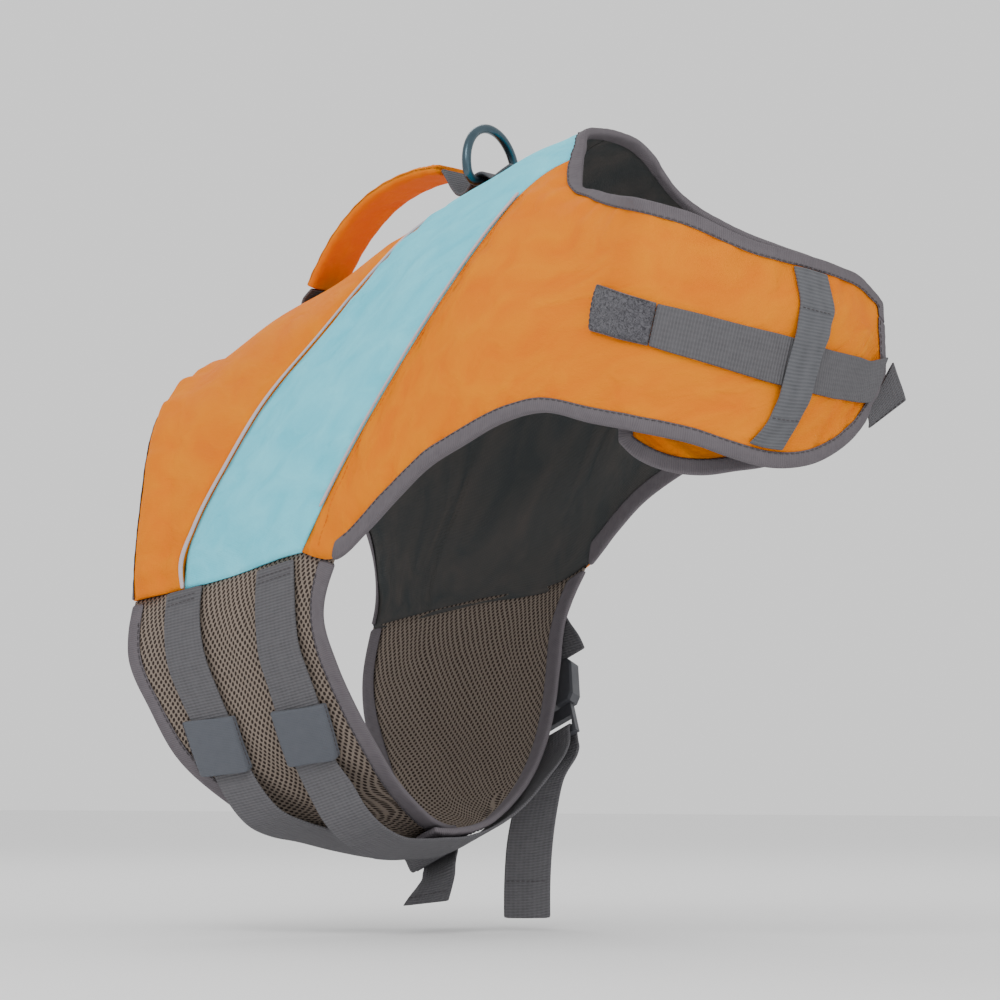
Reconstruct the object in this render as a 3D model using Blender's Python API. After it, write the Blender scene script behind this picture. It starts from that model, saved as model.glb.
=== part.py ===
"""Dog life jacket, filled out as it is worn.

The garment is drawn level in its own body frame, in millimetres: s runs forward along the back,
out runs sideways from the spine and n is the height over the back. The whole is then tipped
nose-up by PITCH and moved so that the origin lies where the wearer's back carries the lining.
The right side is -Y and the left side is +Y.
"""

import math
from collections import namedtuple

import bmesh
import bpy
from mathutils import Vector
from mathutils.bvhtree import BVHTree

MM = 0.001

# ---------------------------------------------------------------- driving sizes, millimetres
PITCH = math.radians(25)
BACK_LENGTH = 288          # hem to collar along the spine
GAP = 0.3                  # between neighbouring pieces
WEBBING = 25               # width of every strap
WEBBING_THICK = 1.6
FOAM_IN = 6.0              # foam and shell under the seam level, in the middle of a panel
FOAM_OUT = 3.0             # puff of a panel over the seam level
EDGE_IN = 2.0              # pressed thickness of a panel at a bound or sewn edge
LINING_THICK = 1.0
MESH_THICK = 1.8
TAPE_THICK = 0.9           # binding tape
TAPE_REACH = 0.88          # leg of the binding, as a part of the pressed margin
MARGIN = 13                # pressed margin along a bound edge
PIPING = 2.2               # reflective piping, across
GIRTH_OUT = 116            # half width of the trunk
GIRTH_DOWN = 144           # half height of the trunk under its widest line
GIRTH_MID = -140           # height of the widest line under the back
WORN_AT = (140, 8 - FOAM_IN - GAP - LINING_THICK)   # s and n of the origin

RIGHT, LEFT = -1, 1

# One row for each section of a side, from the hem to the tip of the chest flap. A section is a
# cubic curve from its top point (spine, collar or neck edge) to its low point (mesh seam, leg
# opening or flap edge). at: place along the strip. facing: turn of the outward direction from
# sideways to forward. drop: slope of the curve's start. bow_top, bow_low: lengths of its handles.
# lean: forward lean of its lower handle.
Section = namedtuple(
    "Section", "at top_s top_out top_n low_s low_out low_n facing drop bow_top bow_low lean"
)
RIGHT_SIDE = [
    Section(-12, 6, 0, 7, -16, 115, -122, 0, 0, 62, 72, 0),
    Section(45, 48, 0, 8, 45, 116, -140, 0, 0, 63, 80, 0),
    Section(105, 105, 0, 8, 107, 117, -154, 0, 0, 64, 88, 0),
    Section(118, 118, 0, 8, 117, 117, -164, 0, 0, 64, 94, 0),
    Section(134, 135, 0, 8, 134, 117, -163, 0, 0, 64, 95, 0),
    Section(158, 160, 0, 8, 155, 116, -157, 0, 0, 64, 92, 0),
    Section(206, 212, 0, 7, 197, 114, -148, -8, 0, 62, 84, 0),
    Section(242, 254, 0, 5, 229, 112, -148, -24, 0, 58, 80, 0),
    Section(268, 294, 0, 1, 252, 111, -152, -48, 0, 52, 76, 0),
    Section(282, 297, 28, -4, 266, 110, -158, -70, 8, 44, 72, 3),
    Section(294, 293, 45, -33, 277, 108, -168, -62, 20, 36, 64, 6),
    Section(308, 310, 62, -53, 289, 106, -178, -42, 38, 32, 54, 10),
    Section(322, 328, 78, -69, 296, 104, -183, -10, 60, 30, 45, 14),
    Section(338, 344, 92, -82, 301, 102, -187, 30, 75, 30, 38, 20),
    Section(365, 364, 82, -101, 319, 86, -202, 45, 82, 30, 36, 24),
    Section(390, 375, 64, -118, 333, 60, -219, 60, 84, 30, 34, 25),
    Section(415, 383, 41, -127, 342, 36, -223, 75, 84, 30, 34, 25),
    Section(440, 388, 14, -133, 351, 10, -217, 88, 84, 28, 31, 25),
    Section(465, 388, -14, -137, 359, -16, -202, 100, 84, 20, 22, 25),
    Section(484, 382, -36, -146, 368, -37, -178, 112, 84, 9, 10, 25),
]
LEFT_SIDE = [
    Section(-12, 6, 0, 7, -28, 105, -122, 0, 0, 50, 62, 0),
    Section(45, 48, 0, 8, 41, 113, -139, 0, 0, 58, 74, 0),
    Section(105, 105, 0, 8, 107, 117, -157, 0, 0, 64, 90, 0),
    Section(128, 129, 0, 8, 127, 117, -154, 0, 0, 64, 88, 0),
    Section(158, 160, 0, 8, 155, 116, -143, 0, 0, 64, 82, 0),
    Section(206, 212, 0, 7, 197, 114, -139, -8, 0, 62, 78, 0),
    Section(242, 254, 0, 5, 229, 112, -141, -24, 0, 58, 74, 0),
    Section(268, 294, 0, 1, 252, 111, -144, -48, 0, 52, 70, 0),
    Section(282, 297, 27, -2, 266, 110, -149, -70, 8, 44, 66, 3),
    Section(294, 299, 45, -33, 278, 108, -156, -62, 20, 36, 58, 6),
    Section(308, 310, 63, -56, 290, 106, -161, -42, 38, 30, 48, 10),
    Section(322, 325, 78, -75, 300, 103, -161, -10, 60, 26, 34, 14),
    Section(338, 338, 90, -91, 309, 98, -158, 32, 74, 24, 26, 20),
    Section(361, 348, 80, -112, 322, 84, -165, 45, 80, 19, 21, 24),
    Section(385, 356, 58, -127, 333, 58, -179, 60, 84, 19, 21, 25),
    Section(411, 358, 30, -136, 335, 30, -191, 80, 84, 20, 22, 25),
    Section(440, 358, 0, -139, 333, 0, -202, 92, 84, 22, 24, 25),
    Section(468, 353, -28, -140, 322, -28, -211, 108, 84, 25, 27, 25),
    Section(494, 340, -52, -140, 310, -53, -211, 124, 84, 25, 27, 25),
    Section(516, 321, -71, -142, 297, -71, -205, 140, 84, 21, 23, 25),
    Section(534, 305, -81, -146, 287, -81, -195, 150, 84, 16, 18, 25),
    Section(550, 295, -86, -154, 282, -86, -182, 156, 84, 9, 10, 25),
]


def spline(knots, values, x):
    """Smooth curve through the values at the knots, with no swing past a value."""
    if x <= knots[0]:
        return values[0]
    if x >= knots[-1]:
        return values[-1]
    i = max(j for j in range(len(knots) - 1) if knots[j] <= x)

    def slope(j):
        lo, hi = max(j - 1, 0), min(j + 1, len(knots) - 1)
        if (values[hi] - values[j]) * (values[j] - values[lo]) < 0 or (
            lo < j < hi and values[j] in (values[lo], values[hi])
        ):
            return 0.0
        return (values[hi] - values[lo]) / (knots[hi] - knots[lo])

    width = knots[i + 1] - knots[i]
    t = (x - knots[i]) / width
    return (
        values[i] * (1 + 2 * t) * (1 - t) ** 2
        + slope(i) * width * t * (1 - t) ** 2
        + values[i + 1] * t * t * (3 - 2 * t)
        + slope(i + 1) * width * t * t * (t - 1)
    )


def column(rows, name, x):
    """A named column of a table, read at x along its first column."""
    first = rows[0]._fields[0]
    return spline([getattr(r, first) for r in rows], [getattr(r, name) for r in rows], x)


class Side:
    """The shell of one side as a surface: at runs from the hem to the flap's tip, down from 0
    at the top edge to 1 at the low edge."""

    def __init__(self, sign, rows):
        self.sign = sign
        self.rows = rows
        self.end = self.rows[-1].at

    def handles(self, at):
        """The four control points of the section curve at a place, in the body frame."""
        v = {f: column(self.rows, f, at) for f in Section._fields[1:]}
        facing, drop, lean = (math.radians(v[k]) for k in ("facing", "drop", "lean"))
        top = Vector((v["top_s"], self.sign * v["top_out"], v["top_n"]))
        low = Vector((v["low_s"], self.sign * v["low_out"], v["low_n"]))
        up = Vector((math.sin(lean), 0, math.cos(lean)))
        outward = Vector((
            math.cos(PITCH) * math.sin(facing),
            self.sign * math.cos(facing),
            -math.sin(PITCH) * math.sin(facing),
        ))
        start = outward * math.cos(drop) - up * math.sin(drop)
        return top, top + start * v["bow_top"], low + up * v["bow_low"], low

    def point(self, at, down):
        a, b, c, d = self.handles(at)
        t, u = down, 1 - down
        return a * u ** 3 + b * (3 * u * u * t) + c * (3 * u * t * t) + d * t ** 3

    def slopes(self, at, down):
        """Unit directions along the strip and down the section."""
        e, f = 0.5, 0.004
        lo, hi = max(at - e, self.rows[0].at), min(at + e, self.end)
        along = self.point(hi, down) - self.point(lo, down)
        q0, q1 = max(down - f, 0), min(down + f, 1)
        across = self.point(at, q1) - self.point(at, q0)
        return along.normalized(), across.normalized()

    def normal(self, at, down):
        along, across = self.slopes(at, down)
        n = along.cross(across)
        if abs(self.point(at, down).y) < 0.01:
            n.y = 0
        n.normalize()
        return n if self.sign > 0 else -n

    def lifted(self, at, down, height):
        """Point over the seam level by a height along the outward normal."""
        return self.point(at, down) + self.normal(at, down) * height

    def length(self, at):
        """Length of the section curve at a place."""
        steps = [self.point(at, k / 8) for k in range(9)]
        return sum((b - a).length for a, b in zip(steps, steps[1:]))


# Seams of one side, a row for each line of nodes from the spine down to the mesh. down: place on
# the section. hem_at, rear_at: ends of the saddle. rim_at, rim_down: the band's node one margin
# short of its front end. front_at, front_down: the band's front end, at the neck edge in the
# first four rows and at the shoulder seam in the others.
Seam = namedtuple("Seam", "down hem_at rear_at rim_at rim_down front_at front_down")
SEAMS = [
    Seam(0.00, 0, 222, 260, 0.00, 268, 0.00),
    Seam(0.07, 0, 217, 267, 0.10, 275, 0.00),
    Seam(0.13, 1, 210, 278, 0.13, 282, 0.00),
    Seam(0.20, 2, 200, 283, 0.12, 290, 0.00),
    Seam(0.27, 2, 189, 277, 0.25, 286, 0.16),
    Seam(0.38, 4, 173, 264, 0.37, 275, 0.37),
    Seam(0.50, 7, 136, 249, 0.50, 263, 0.505),
    Seam(0.62, 9, 97, 226, 0.63, 240, 0.635),
    Seam(0.74, 8, 69, 190, 0.745, 204, 0.75),
    Seam(0.86, 3, 42, 134, 0.86, 145, 0.86),
    Seam(0.945, -3, 28, 100, 0.94, 109, 0.94),
    Seam(1.00, -8, 24, 92, 1.00, 100, 1.00),
]
NECK_ROW = 3               # row that carries the neck edge of the shoulder
LOW_ROW = len(SEAMS) - 1
SADDLE_STEPS = (0, 0.05, 0.17, 0.32, 0.48, 0.64, 0.8, 0.92, 1)
BAND_STEPS = (0, 0.18, 0.45, 0.75, 1)
SHOULDER_STEPS = (0, 0.08, 0.2, 0.32, 0.44, 0.56, 0.68, 0.8, 0.9, 1)
FLAP_START = 322
FLAP_STEPS = (0.045, 0.09, 0.18, 0.27, 0.36, 0.45, 0.54, 0.63, 0.72, 0.8, 0.87)
SADDLE_END = len(SADDLE_STEPS) - 1
BAND_END = SADDLE_END + len(BAND_STEPS)
LAST = BAND_END + len(SHOULDER_STEPS) - 1 + len(FLAP_STEPS) + 2
ARMHOLE_AT = 118           # where the leg opening starts on the low edge
RELAX_FROM = 10            # first column eased round the collar
RELAX_ROUNDS = 4
SOFTEN_ROUNDS = 2


def mix(a, b, t):
    return a + (b - a) * t


def beside_point(points, keys):
    return [points[key] for key in keys]


class Nodes:
    """Nodes of one side: column 0 at the hem, LAST at the flap's end, row 0 at the spine."""

    def __init__(self, side):
        self.side = side
        self.where = {}
        for row, seam in enumerate(SEAMS):
            for column, step in enumerate(SADDLE_STEPS):
                self.where[column, row] = (mix(seam.hem_at, seam.rear_at, step), seam.down)
            for column, step in enumerate(BAND_STEPS):
                self.where[SADDLE_END + column, row] = (
                    mix(seam.rear_at, seam.rim_at, step),
                    mix(seam.down, seam.rim_down, step),
                )
            self.where[BAND_END, row] = (seam.front_at, seam.front_down)
            if row < NECK_ROW:
                continue
            column = BAND_END
            for step in SHOULDER_STEPS[1:]:
                column += 1
                at = mix(seam.front_at, FLAP_START, step)
                ease = min(1.0, step / 0.56)
                self.where[column, row] = (at, mix(seam.front_down, self.spread(at, row), ease))
            rim = side.end - MARGIN * 0.8
            for step in FLAP_STEPS + (None, 1):
                column += 1
                at = rim if step is None else mix(FLAP_START, side.end, step)
                self.where[column, row] = (at, self.spread(at, row))
        self.points = {key: side.point(*place) for key, place in self.where.items()}
        self.relax()
        self.normals = self.softened({key: self.normal(*key) for key in self.points})

    def neighbours(self, column, row):
        beside = ((column - 1, row), (column + 1, row), (column, row - 1), (column, row + 1))
        return [key for key in beside if key in self.points]

    def relax(self):
        """Eases the cloth round the collar, where it turns from the back down to the chest."""
        for _ in range(RELAX_ROUNDS):
            eased = {}
            for key, point in self.points.items():
                column, row = key
                beside = self.neighbours(*key)
                if len(beside) < 4 or column < RELAX_FROM or row == LOW_ROW:
                    continue
                mean = sum(beside_point(self.points, beside), Vector()) / 4
                eased[key] = point.lerp(mean, 0.5)
            self.points.update(eased)

    def normal(self, column, row):
        """Outward unit normal from the neighbouring nodes."""
        def step(dc, dr):
            key, back = (column + dc, row + dr), (column - dc, row - dr)
            return self.points.get(key, self.points[column, row]) - self.points.get(
                back, self.points[column, row]
            )

        normal = step(1, 0).cross(step(0, 1))
        if row == 0:
            normal.y = 0
        normal.normalize()
        return normal if self.side.sign > 0 else -normal

    def softened(self, normals):
        """Normals averaged with their neighbours, kept upright on the spine."""
        for _ in range(SOFTEN_ROUNDS):
            fresh = {}
            for key, own in normals.items():
                total = own * 2 + sum(beside_point(normals, self.neighbours(*key)), Vector())
                if key[1] == 0:
                    total.y = 0
                fresh[key] = total.normalized()
            normals = fresh
        return normals

    def spread(self, at, row):
        """Place of a row on a flap section, with one pressed margin at each end."""
        margin = min(0.34, MARGIN / self.side.length(at))
        steps = LOW_ROW - NECK_ROW - 2
        inner = (row - NECK_ROW - 1) / steps
        if row == NECK_ROW:
            return 0.0
        if row == LOW_ROW:
            return 1.0
        return mix(margin, 1 - margin, inner)

    def pressed(self, column, row):
        """True where the shell is pressed thin: at bound edges and the mesh seam."""
        if row >= LOW_ROW - 1 or column == 0 or column >= LAST - 1:
            return True
        if column > BAND_END:
            return row <= NECK_ROW + 1
        return column >= BAND_END - 1 and row <= NECK_ROW + 1

    def inner(self, column, row):
        if column == 1 and row < LOW_ROW - 1:
            return -mix(EDGE_IN, FOAM_IN, 0.7)
        if BAND_END - 3 < column < BAND_END + 5 and row <= NECK_ROW + 3 and not self.pressed(column, row):
            return -mix(EDGE_IN, FOAM_IN, 0.4)
        return -EDGE_IN if self.pressed(column, row) else -FOAM_IN

    def outer(self, column, row):
        if self.pressed(column, row) or column in (SADDLE_END, BAND_END):
            return 0.0
        beside_seam = column in (1, SADDLE_END - 1, SADDLE_END + 1, BAND_END - 1, BAND_END + 1)
        return FOAM_OUT * (0.7 if beside_seam else 1.0)

    def at_height(self, column, row, height):
        return self.points[column, row] + self.normals[column, row] * height

    def spot(self, key, level):
        """Point and normal anywhere on the lattice's triangles; level gives a node's height."""
        c, r = min(math.floor(key[0]), LAST - 1), min(math.floor(key[1]), LOW_ROW - 1)
        x, y = key[0] - c, key[1] - r
        ends = {(i, j): (c + i, r + j) for i in (0, 1) for j in (0, 1)}
        if self.side.sign > 0:
            shares = (
                {(0, 0): 1 - x, (1, 0): x - y, (1, 1): y} if x >= y
                else {(0, 0): 1 - y, (0, 1): y - x, (1, 1): x}
            )
        else:
            shares = (
                {(0, 0): 1 - x - y, (1, 0): x, (0, 1): y} if x + y <= 1
                else {(1, 1): x + y - 1, (0, 1): 1 - x, (1, 0): 1 - y}
            )
        point, normal = Vector(), Vector()
        for end, share in shares.items():
            if share > 1e-6:
                node = ends[end]
                point += self.at_height(*node, level(*node)) * share
                normal += self.normals[node] * share
        return point, normal.normalized()

    def pulled(self, key, toward, height):
        """A node's point drawn half a seam gap toward its neighbour in the same piece."""
        point = self.at_height(*key, height)
        other = self.at_height(*toward, height)
        return point + (other - point).normalized() * GAP


def on_row(point):
    """Body frame in millimetres to the row frame in metres."""
    s, n = point.x - WORN_AT[0], point.z - WORN_AT[1]
    c, d = math.cos(PITCH), math.sin(PITCH)
    return Vector((s * c - n * d, point.y, s * d + n * c)) * MM


def material(name, colour, rough, metal=0.0):
    made = bpy.data.materials.new(name)
    made.use_nodes = True
    shader = made.node_tree.nodes["Principled BSDF"]
    shader.inputs["Base Color"].default_value = (*colour, 1)
    shader.inputs["Roughness"].default_value = rough
    shader.inputs["Metallic"].default_value = metal
    made.diffuse_color = (*colour, 1)
    return made


SOLIDS = {}


def solid(name, points, faces, colour, rough=0.85, metal=0.0):
    """Adds one closed part from body-frame points, its faces turned outward."""
    mesh = bpy.data.meshes.new(name)
    mesh.from_pydata([on_row(p) for p in points], [], faces)
    made = bmesh.new()
    made.from_mesh(mesh)
    bmesh.ops.recalc_face_normals(made, faces=made.faces)
    bmesh.ops.triangulate(made, faces=made.faces)
    if made.calc_volume(signed=True) < 0:
        bmesh.ops.reverse_faces(made, faces=made.faces)
    made.to_mesh(mesh)
    made.free()
    mesh.materials.append(material(name, colour, rough, metal))
    thing = bpy.data.objects.new(name, mesh)
    bpy.context.collection.objects.link(thing)
    SOLIDS[name] = (points, faces)
    return thing


def wall(name, quads, outer, inner, colour):
    """Closed wall between two faces that share the same cells; keys name the nodes."""
    keys = list(dict.fromkeys(k for q in quads for k in q))
    index = {k: i for i, k in enumerate(keys)}
    count = len(keys)
    points = [outer[k] for k in keys] + [inner[k] for k in keys]
    faces = []
    edges = {}
    for quad in quads:
        a, b, c, d = (index[k] for k in quad)
        faces += [[a, b, c], [a, c, d]]
        faces += [[c + count, b + count, a + count], [d + count, c + count, a + count]]
        for a, b in zip(quad, quad[1:] + quad[:1]):
            edges[a, b] = True
    for a, b in edges:
        if (b, a) not in edges:
            faces.append([index[b], index[a], index[a] + count, index[b] + count])
    return solid(name, points, faces, colour)


def sweep(name, rings, colour, closed=False, **finish):
    """Closed solid through equal rings of points; the ends are capped unless it is closed."""
    size, count = len(rings[0]), len(rings)
    points = [p for ring in rings for p in ring]
    faces = []
    for i in range(count if closed else count - 1):
        j = (i + 1) % count
        for k in range(size):
            m = (k + 1) % size
            faces += [[i * size + k, i * size + m, j * size + m], [i * size + k, j * size + m, j * size + k]]
    if not closed:
        faces.append(list(range(size)))
        faces.append([(count - 1) * size + k for k in reversed(range(size))])
    return solid(name, points, faces, colour, **finish)


ORANGE = (1.0, 0.34, 0.0)
BLUE = (0.40, 0.86, 0.92)
TAPE = (0.155, 0.145, 0.155)
WEB = (0.10, 0.10, 0.105)
LINING = (0.035, 0.035, 0.038)
MESH = (0.19, 0.165, 0.145)
REFLECTIVE = (0.60, 0.58, 0.62)
STEEL = (0.075, 0.125, 0.150)
PLASTIC = (0.045, 0.045, 0.048)

SIDES = {RIGHT: Nodes(Side(RIGHT, RIGHT_SIDE)), LEFT: Nodes(Side(LEFT, LEFT_SIDE))}
NAMES = {RIGHT: "right", LEFT: "left"}


def cells(sign, columns, rows):
    """Cells of one side between two columns and two rows, with the spine shared."""
    def key(column, row):
        return (sign if row else 0, column, row)

    quads = []
    for c in range(*columns):
        for r in range(*rows):
            quad = [key(c, r), key(c + 1, r), key(c + 1, r + 1), key(c, r + 1)]
            quads.append(quad if sign > 0 else quad[::-1])
    return quads


def faces_of(quads, columns):
    """Outer and inner points of a panel whose two end columns may be drawn off a seam."""
    first, last = columns
    outer, inner = {}, {}
    for key in dict.fromkeys(k for q in quads for k in q):
        sign, column, row = key
        nodes = SIDES[sign or RIGHT]
        high, deep = nodes.outer(column, row), nodes.inner(column, row)
        seam = (SADDLE_END, BAND_END)
        if column in seam and not (column == BAND_END and row < NECK_ROW):
            toward = (column + 1 if column == first else column - 1, row)
            outer[key] = nodes.pulled((column, row), toward, high)
            inner[key] = nodes.pulled((column, row), toward, deep)
        else:
            outer[key] = nodes.at_height(column, row, high)
            inner[key] = nodes.at_height(column, row, deep)
    return outer, inner


def panel(name, columns, rows, signs, colour):
    quads = [q for sign in signs for q in cells(sign, columns, rows)]
    outer, inner = faces_of(quads, columns)
    return wall(name, quads, outer, inner, colour)


def lining(sign):
    """Lining of one side, under every panel, 0.3 mm off their inner faces and off the spine."""
    quads = cells(sign, (0, BAND_END), (0, LOW_ROW)) + cells(sign, (BAND_END, LAST), (NECK_ROW, LOW_ROW))
    nodes = SIDES[sign]
    outer, inner = {}, {}
    for key in dict.fromkeys(k for q in quads for k in q):
        deep = nodes.inner(*key[1:]) - GAP
        aside = Vector((0, sign * GAP / 2 if key[2] == 0 else 0, 0))
        outer[key] = nodes.at_height(*key[1:], deep) + aside
        inner[key] = nodes.at_height(*key[1:], deep - LINING_THICK) + aside
    wall(f"lining_{NAMES[sign]}", quads, outer, inner, LINING)


def tape_ring(edge_out, leg_out, edge_in, leg_in, normal, g=GAP):
    """Section of a folded binding tape round an edge, with a leg on each face."""
    away = (edge_out - leg_out).normalized()
    t = TAPE_THICK
    return [
        leg_out + normal * g,
        leg_out + normal * (g + t),
        edge_out + (normal + away * 0.55) * (g + t),
        edge_out + away * (g + t),
        edge_in + away * (g + t),
        edge_in + (away * 0.55 - normal) * (g + t),
        leg_in - normal * (g + t),
        leg_in - normal * g,
        edge_in - normal * g + away * g,
        edge_out + normal * g + away * g,
    ]


def shell_tape(nodes, pairs, gap=GAP * 2.2, inner_reach=TAPE_REACH):
    """Binding sections along pairs of an edge place and the place one margin inward."""
    def lined(column, row):
        return nodes.inner(column, row) - GAP - LINING_THICK

    rings = []
    for edge, rim in pairs:
        at_corner = 1 <= edge[1] <= NECK_ROW and edge[0] < BAND_END + 3
        reach = TAPE_REACH * (0.4 if at_corner else 1.0)
        legs = [
            (mix(edge[0], rim[0], k), mix(edge[1], rim[1], k)) for k in (reach, min(reach, inner_reach))
        ]
        edge_out, normal = nodes.spot(edge, nodes.outer)
        rings.append(tape_ring(
            edge_out, nodes.spot(legs[0], nodes.outer)[0],
            nodes.spot(edge, lined)[0], nodes.spot(legs[1], lined)[0], normal, gap,
        ))
    return rings


def halved(first, last, fine):
    """Steps from first to last, by halves within the fine range."""
    way = 1 if last > first else -1
    steps = []
    for k in range(first, last, way):
        steps += [k, k + way / 2] if fine[0] <= min(k, k + way) < fine[1] else [k]
    return steps + [last]


def short_of(ring, toward, gap):
    """A section moved by a gap toward another one."""
    step = (toward[3] - ring[3]).normalized() * gap
    return [p + step for p in ring]


def neck_pairs():
    b, n = BAND_END, NECK_ROW
    collar = [((b, r), (b - 1, r)) for r in range(n)]
    turn = [((b, n - 0.25), (b - 1, n)), ((b, n), (b - 1, n + 1)), ((b + 0.25, n), (b, n + 1))]
    shoulder = [((c, n), (c, n + 1)) for c in halved(b + 1, LAST - 1, (b + 1, b + 14))]
    return collar + turn + shoulder + [((LAST, n), (LAST - 1, n + 1))]


def flap_pairs(start):
    """Flap's end from its middle round the low corner and back along the leg opening."""
    end = [((LAST, r), (LAST - 1, r)) for r in range(NECK_ROW + 1, LOW_ROW)]
    corner = [((LAST, LOW_ROW), (LAST - 1, LOW_ROW - 1))]
    columns = halved(LAST - 1, math.ceil(start), (BAND_END + 3, BAND_END + 11)) + [start]
    low = [((c, LOW_ROW), (c, LOW_ROW - 1)) for c in columns]
    return end + corner + low


# ---------------------------------------------------------------- mesh panels of the belly
# turn: degrees round the trunk from its widest line to the belly. rear_s, front_s: edges.
# rear_lift, lift: height over the trunk at the rear edge and from the middle forward.
MeshRow = namedtuple("MeshRow", "turn rear_s front_s rear_lift lift")
MESH_ROWS = {
    RIGHT: [
        MeshRow(-8, -23, 117, -1, -1), MeshRow(4, -27, 118, -1, -1), MeshRow(12, -27, 109, -1, -1),
        MeshRow(18, -28, 94, -1, -1), MeshRow(28, -28, 86, -1, -1), MeshRow(40, -21, 79, -1, -1),
        MeshRow(50, -16, 73, -1, -1), MeshRow(55, -8, 69, -1, -1), MeshRow(61, 6, 65, -1, -1),
        MeshRow(68, 14, 61, -1, -1), MeshRow(76, 17, 55, -1.5, -1.5), MeshRow(84, 18, 50, -1.5, -1.5),
        MeshRow(98, 17, 41, -1.5, -1.5),
    ],
    LEFT: [
        MeshRow(-8, -32, 117, -11, -1), MeshRow(4, -36, 113, -18, -1), MeshRow(12, -37, 99, -24, -1),
        MeshRow(24, -34, 86, -30, -1), MeshRow(40, -26, 77, -30, -1), MeshRow(56, -17, 69, -18, 1),
        MeshRow(66, 5, 61, -3, 2.5), MeshRow(78, 31, 57, 4.0, 4.0), MeshRow(98, 30, 51, 4.0, 4.0),
    ],
}
MESH_STEPS = (0, 0.1, 0.21, 0.33, 0.45, 0.57, 0.69, 0.8, 0.9)
MESH_SEAM_AT = (-8, 5, 24, 58, 84, 100, ARMHOLE_AT)   # columns of the mesh along its seam
MESH_LAST = len(MESH_SEAM_AT) - 1


def trunk_point(sign, turn, s, lift):
    """Point over the trunk's oval: turn 0 at its widest, 90 under the belly."""
    a = math.radians(turn)
    normal = Vector((0, sign * math.cos(a) / GIRTH_OUT, -math.sin(a) / GIRTH_DOWN)).normalized()
    base = Vector((s, sign * GIRTH_OUT * math.cos(a), GIRTH_MID - GIRTH_DOWN * math.sin(a)))
    return base + normal * lift


class Belly:
    """Mesh of one side: row 0 along the seam, the last row under the belly."""

    def __init__(self, sign):
        self.sign = sign
        self.last = len(MESH_STEPS) + 1
        self.points = {}
        shell = SIDES[sign].side
        table = MESH_ROWS[sign]
        end = table[-1].turn
        for step, at in enumerate(MESH_SEAM_AT):
            seam = shell.point(at, 1)
            first = math.degrees(math.asin((GIRTH_MID - seam.z + 1.5) / GIRTH_DOWN))
            for row in range(self.last + 1):
                if row < len(MESH_STEPS):
                    turn = mix(first, end, MESH_STEPS[row])
                else:
                    turn = end - (MARGIN / 2.5 if row < self.last else 0)
                rear, front = column(table, "rear_s", turn), column(table, "front_s", turn)
                share = self.share(step, front - rear)
                s = seam.x if row == 0 else mix(rear, front, share)
                back, fore = column(table, "rear_lift", turn), column(table, "lift", turn)
                lift = mix(back, fore, min(1.0, share * 1.6))
                if row == 0:
                    lift = min(lift, abs(seam.y) - GIRTH_OUT - 1)
                self.points[step, row] = trunk_point(sign, turn, s, lift)
        self.normals = {key: self.normal(*key) for key in self.points}

    def share(self, step, width):
        """Place of a column between the rear and the front edge, one margin off each."""
        margin = min(0.3, MARGIN / width)
        inner = (step - 1) / (MESH_LAST - 2)
        if step in (0, MESH_LAST):
            return step / MESH_LAST
        return mix(margin, 1 - margin, inner)

    def normal(self, step, row):
        """Outward unit normal from the neighbouring nodes."""
        fore = self.points[min(step + 1, MESH_LAST), row] - self.points[max(step - 1, 0), row]
        down = self.points[step, min(row + 1, self.last)] - self.points[step, max(row - 1, 0)]
        normal = fore.cross(down).normalized()
        return normal if self.sign > 0 else -normal

    def at_height(self, key, height):
        return self.points[key] + self.normals[key] * height

    def build(self):
        quads = []
        for c in range(MESH_LAST):
            for r in range(self.last):
                quad = [(c, r), (c + 1, r), (c + 1, r + 1), (c, r + 1)]
                quads.append(quad if self.sign > 0 else quad[::-1])
        outer = {k: self.at_height(k, 0) for k in self.points}
        inner = {k: self.at_height(k, -MESH_THICK) for k in self.points}
        wall(f"mesh_{NAMES[self.sign]}", quads, outer, inner, MESH)

    def ring(self, edge, rim):
        edges = [self.at_height(edge, h) for h in (0, -MESH_THICK)]
        legs = [e.lerp(self.at_height(rim, h), TAPE_REACH) for e, h in zip(edges, (0, -MESH_THICK))]
        curled = self.sign > 0 and edge[1] < self.last - 3
        return tape_ring(
            edges[0], legs[0], edges[1], legs[1], self.normals[edge], GAP * (4 if curled else 1.6)
        )

    def tape(self):
        """Binding down the front edge, along the belly and up the rear edge."""
        last = self.last
        front = [((MESH_LAST, r), (MESH_LAST - 1, r)) for r in range(last)]
        corner = [((MESH_LAST, last), (MESH_LAST - 1, last - 1))]
        low = [((c, last), (c, last - 1)) for c in range(MESH_LAST - 1, 0, -1)]
        other = [((0, last), (1, last - 1))]
        rear = [((0, r), (1, r)) for r in range(last - 1, -1, -1)]
        rings = [self.ring(edge, rim) for edge, rim in front + corner + low + other + rear]
        rings[0] = [a.lerp(b, 0.2) for a, b in zip(rings[0], rings[1])]
        rings[-1] = [a.lerp(b, 0.35) for a, b in zip(rings[-1], rings[-2])]
        sweep(f"mesh_binding_{NAMES[self.sign]}", rings, TAPE)


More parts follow.
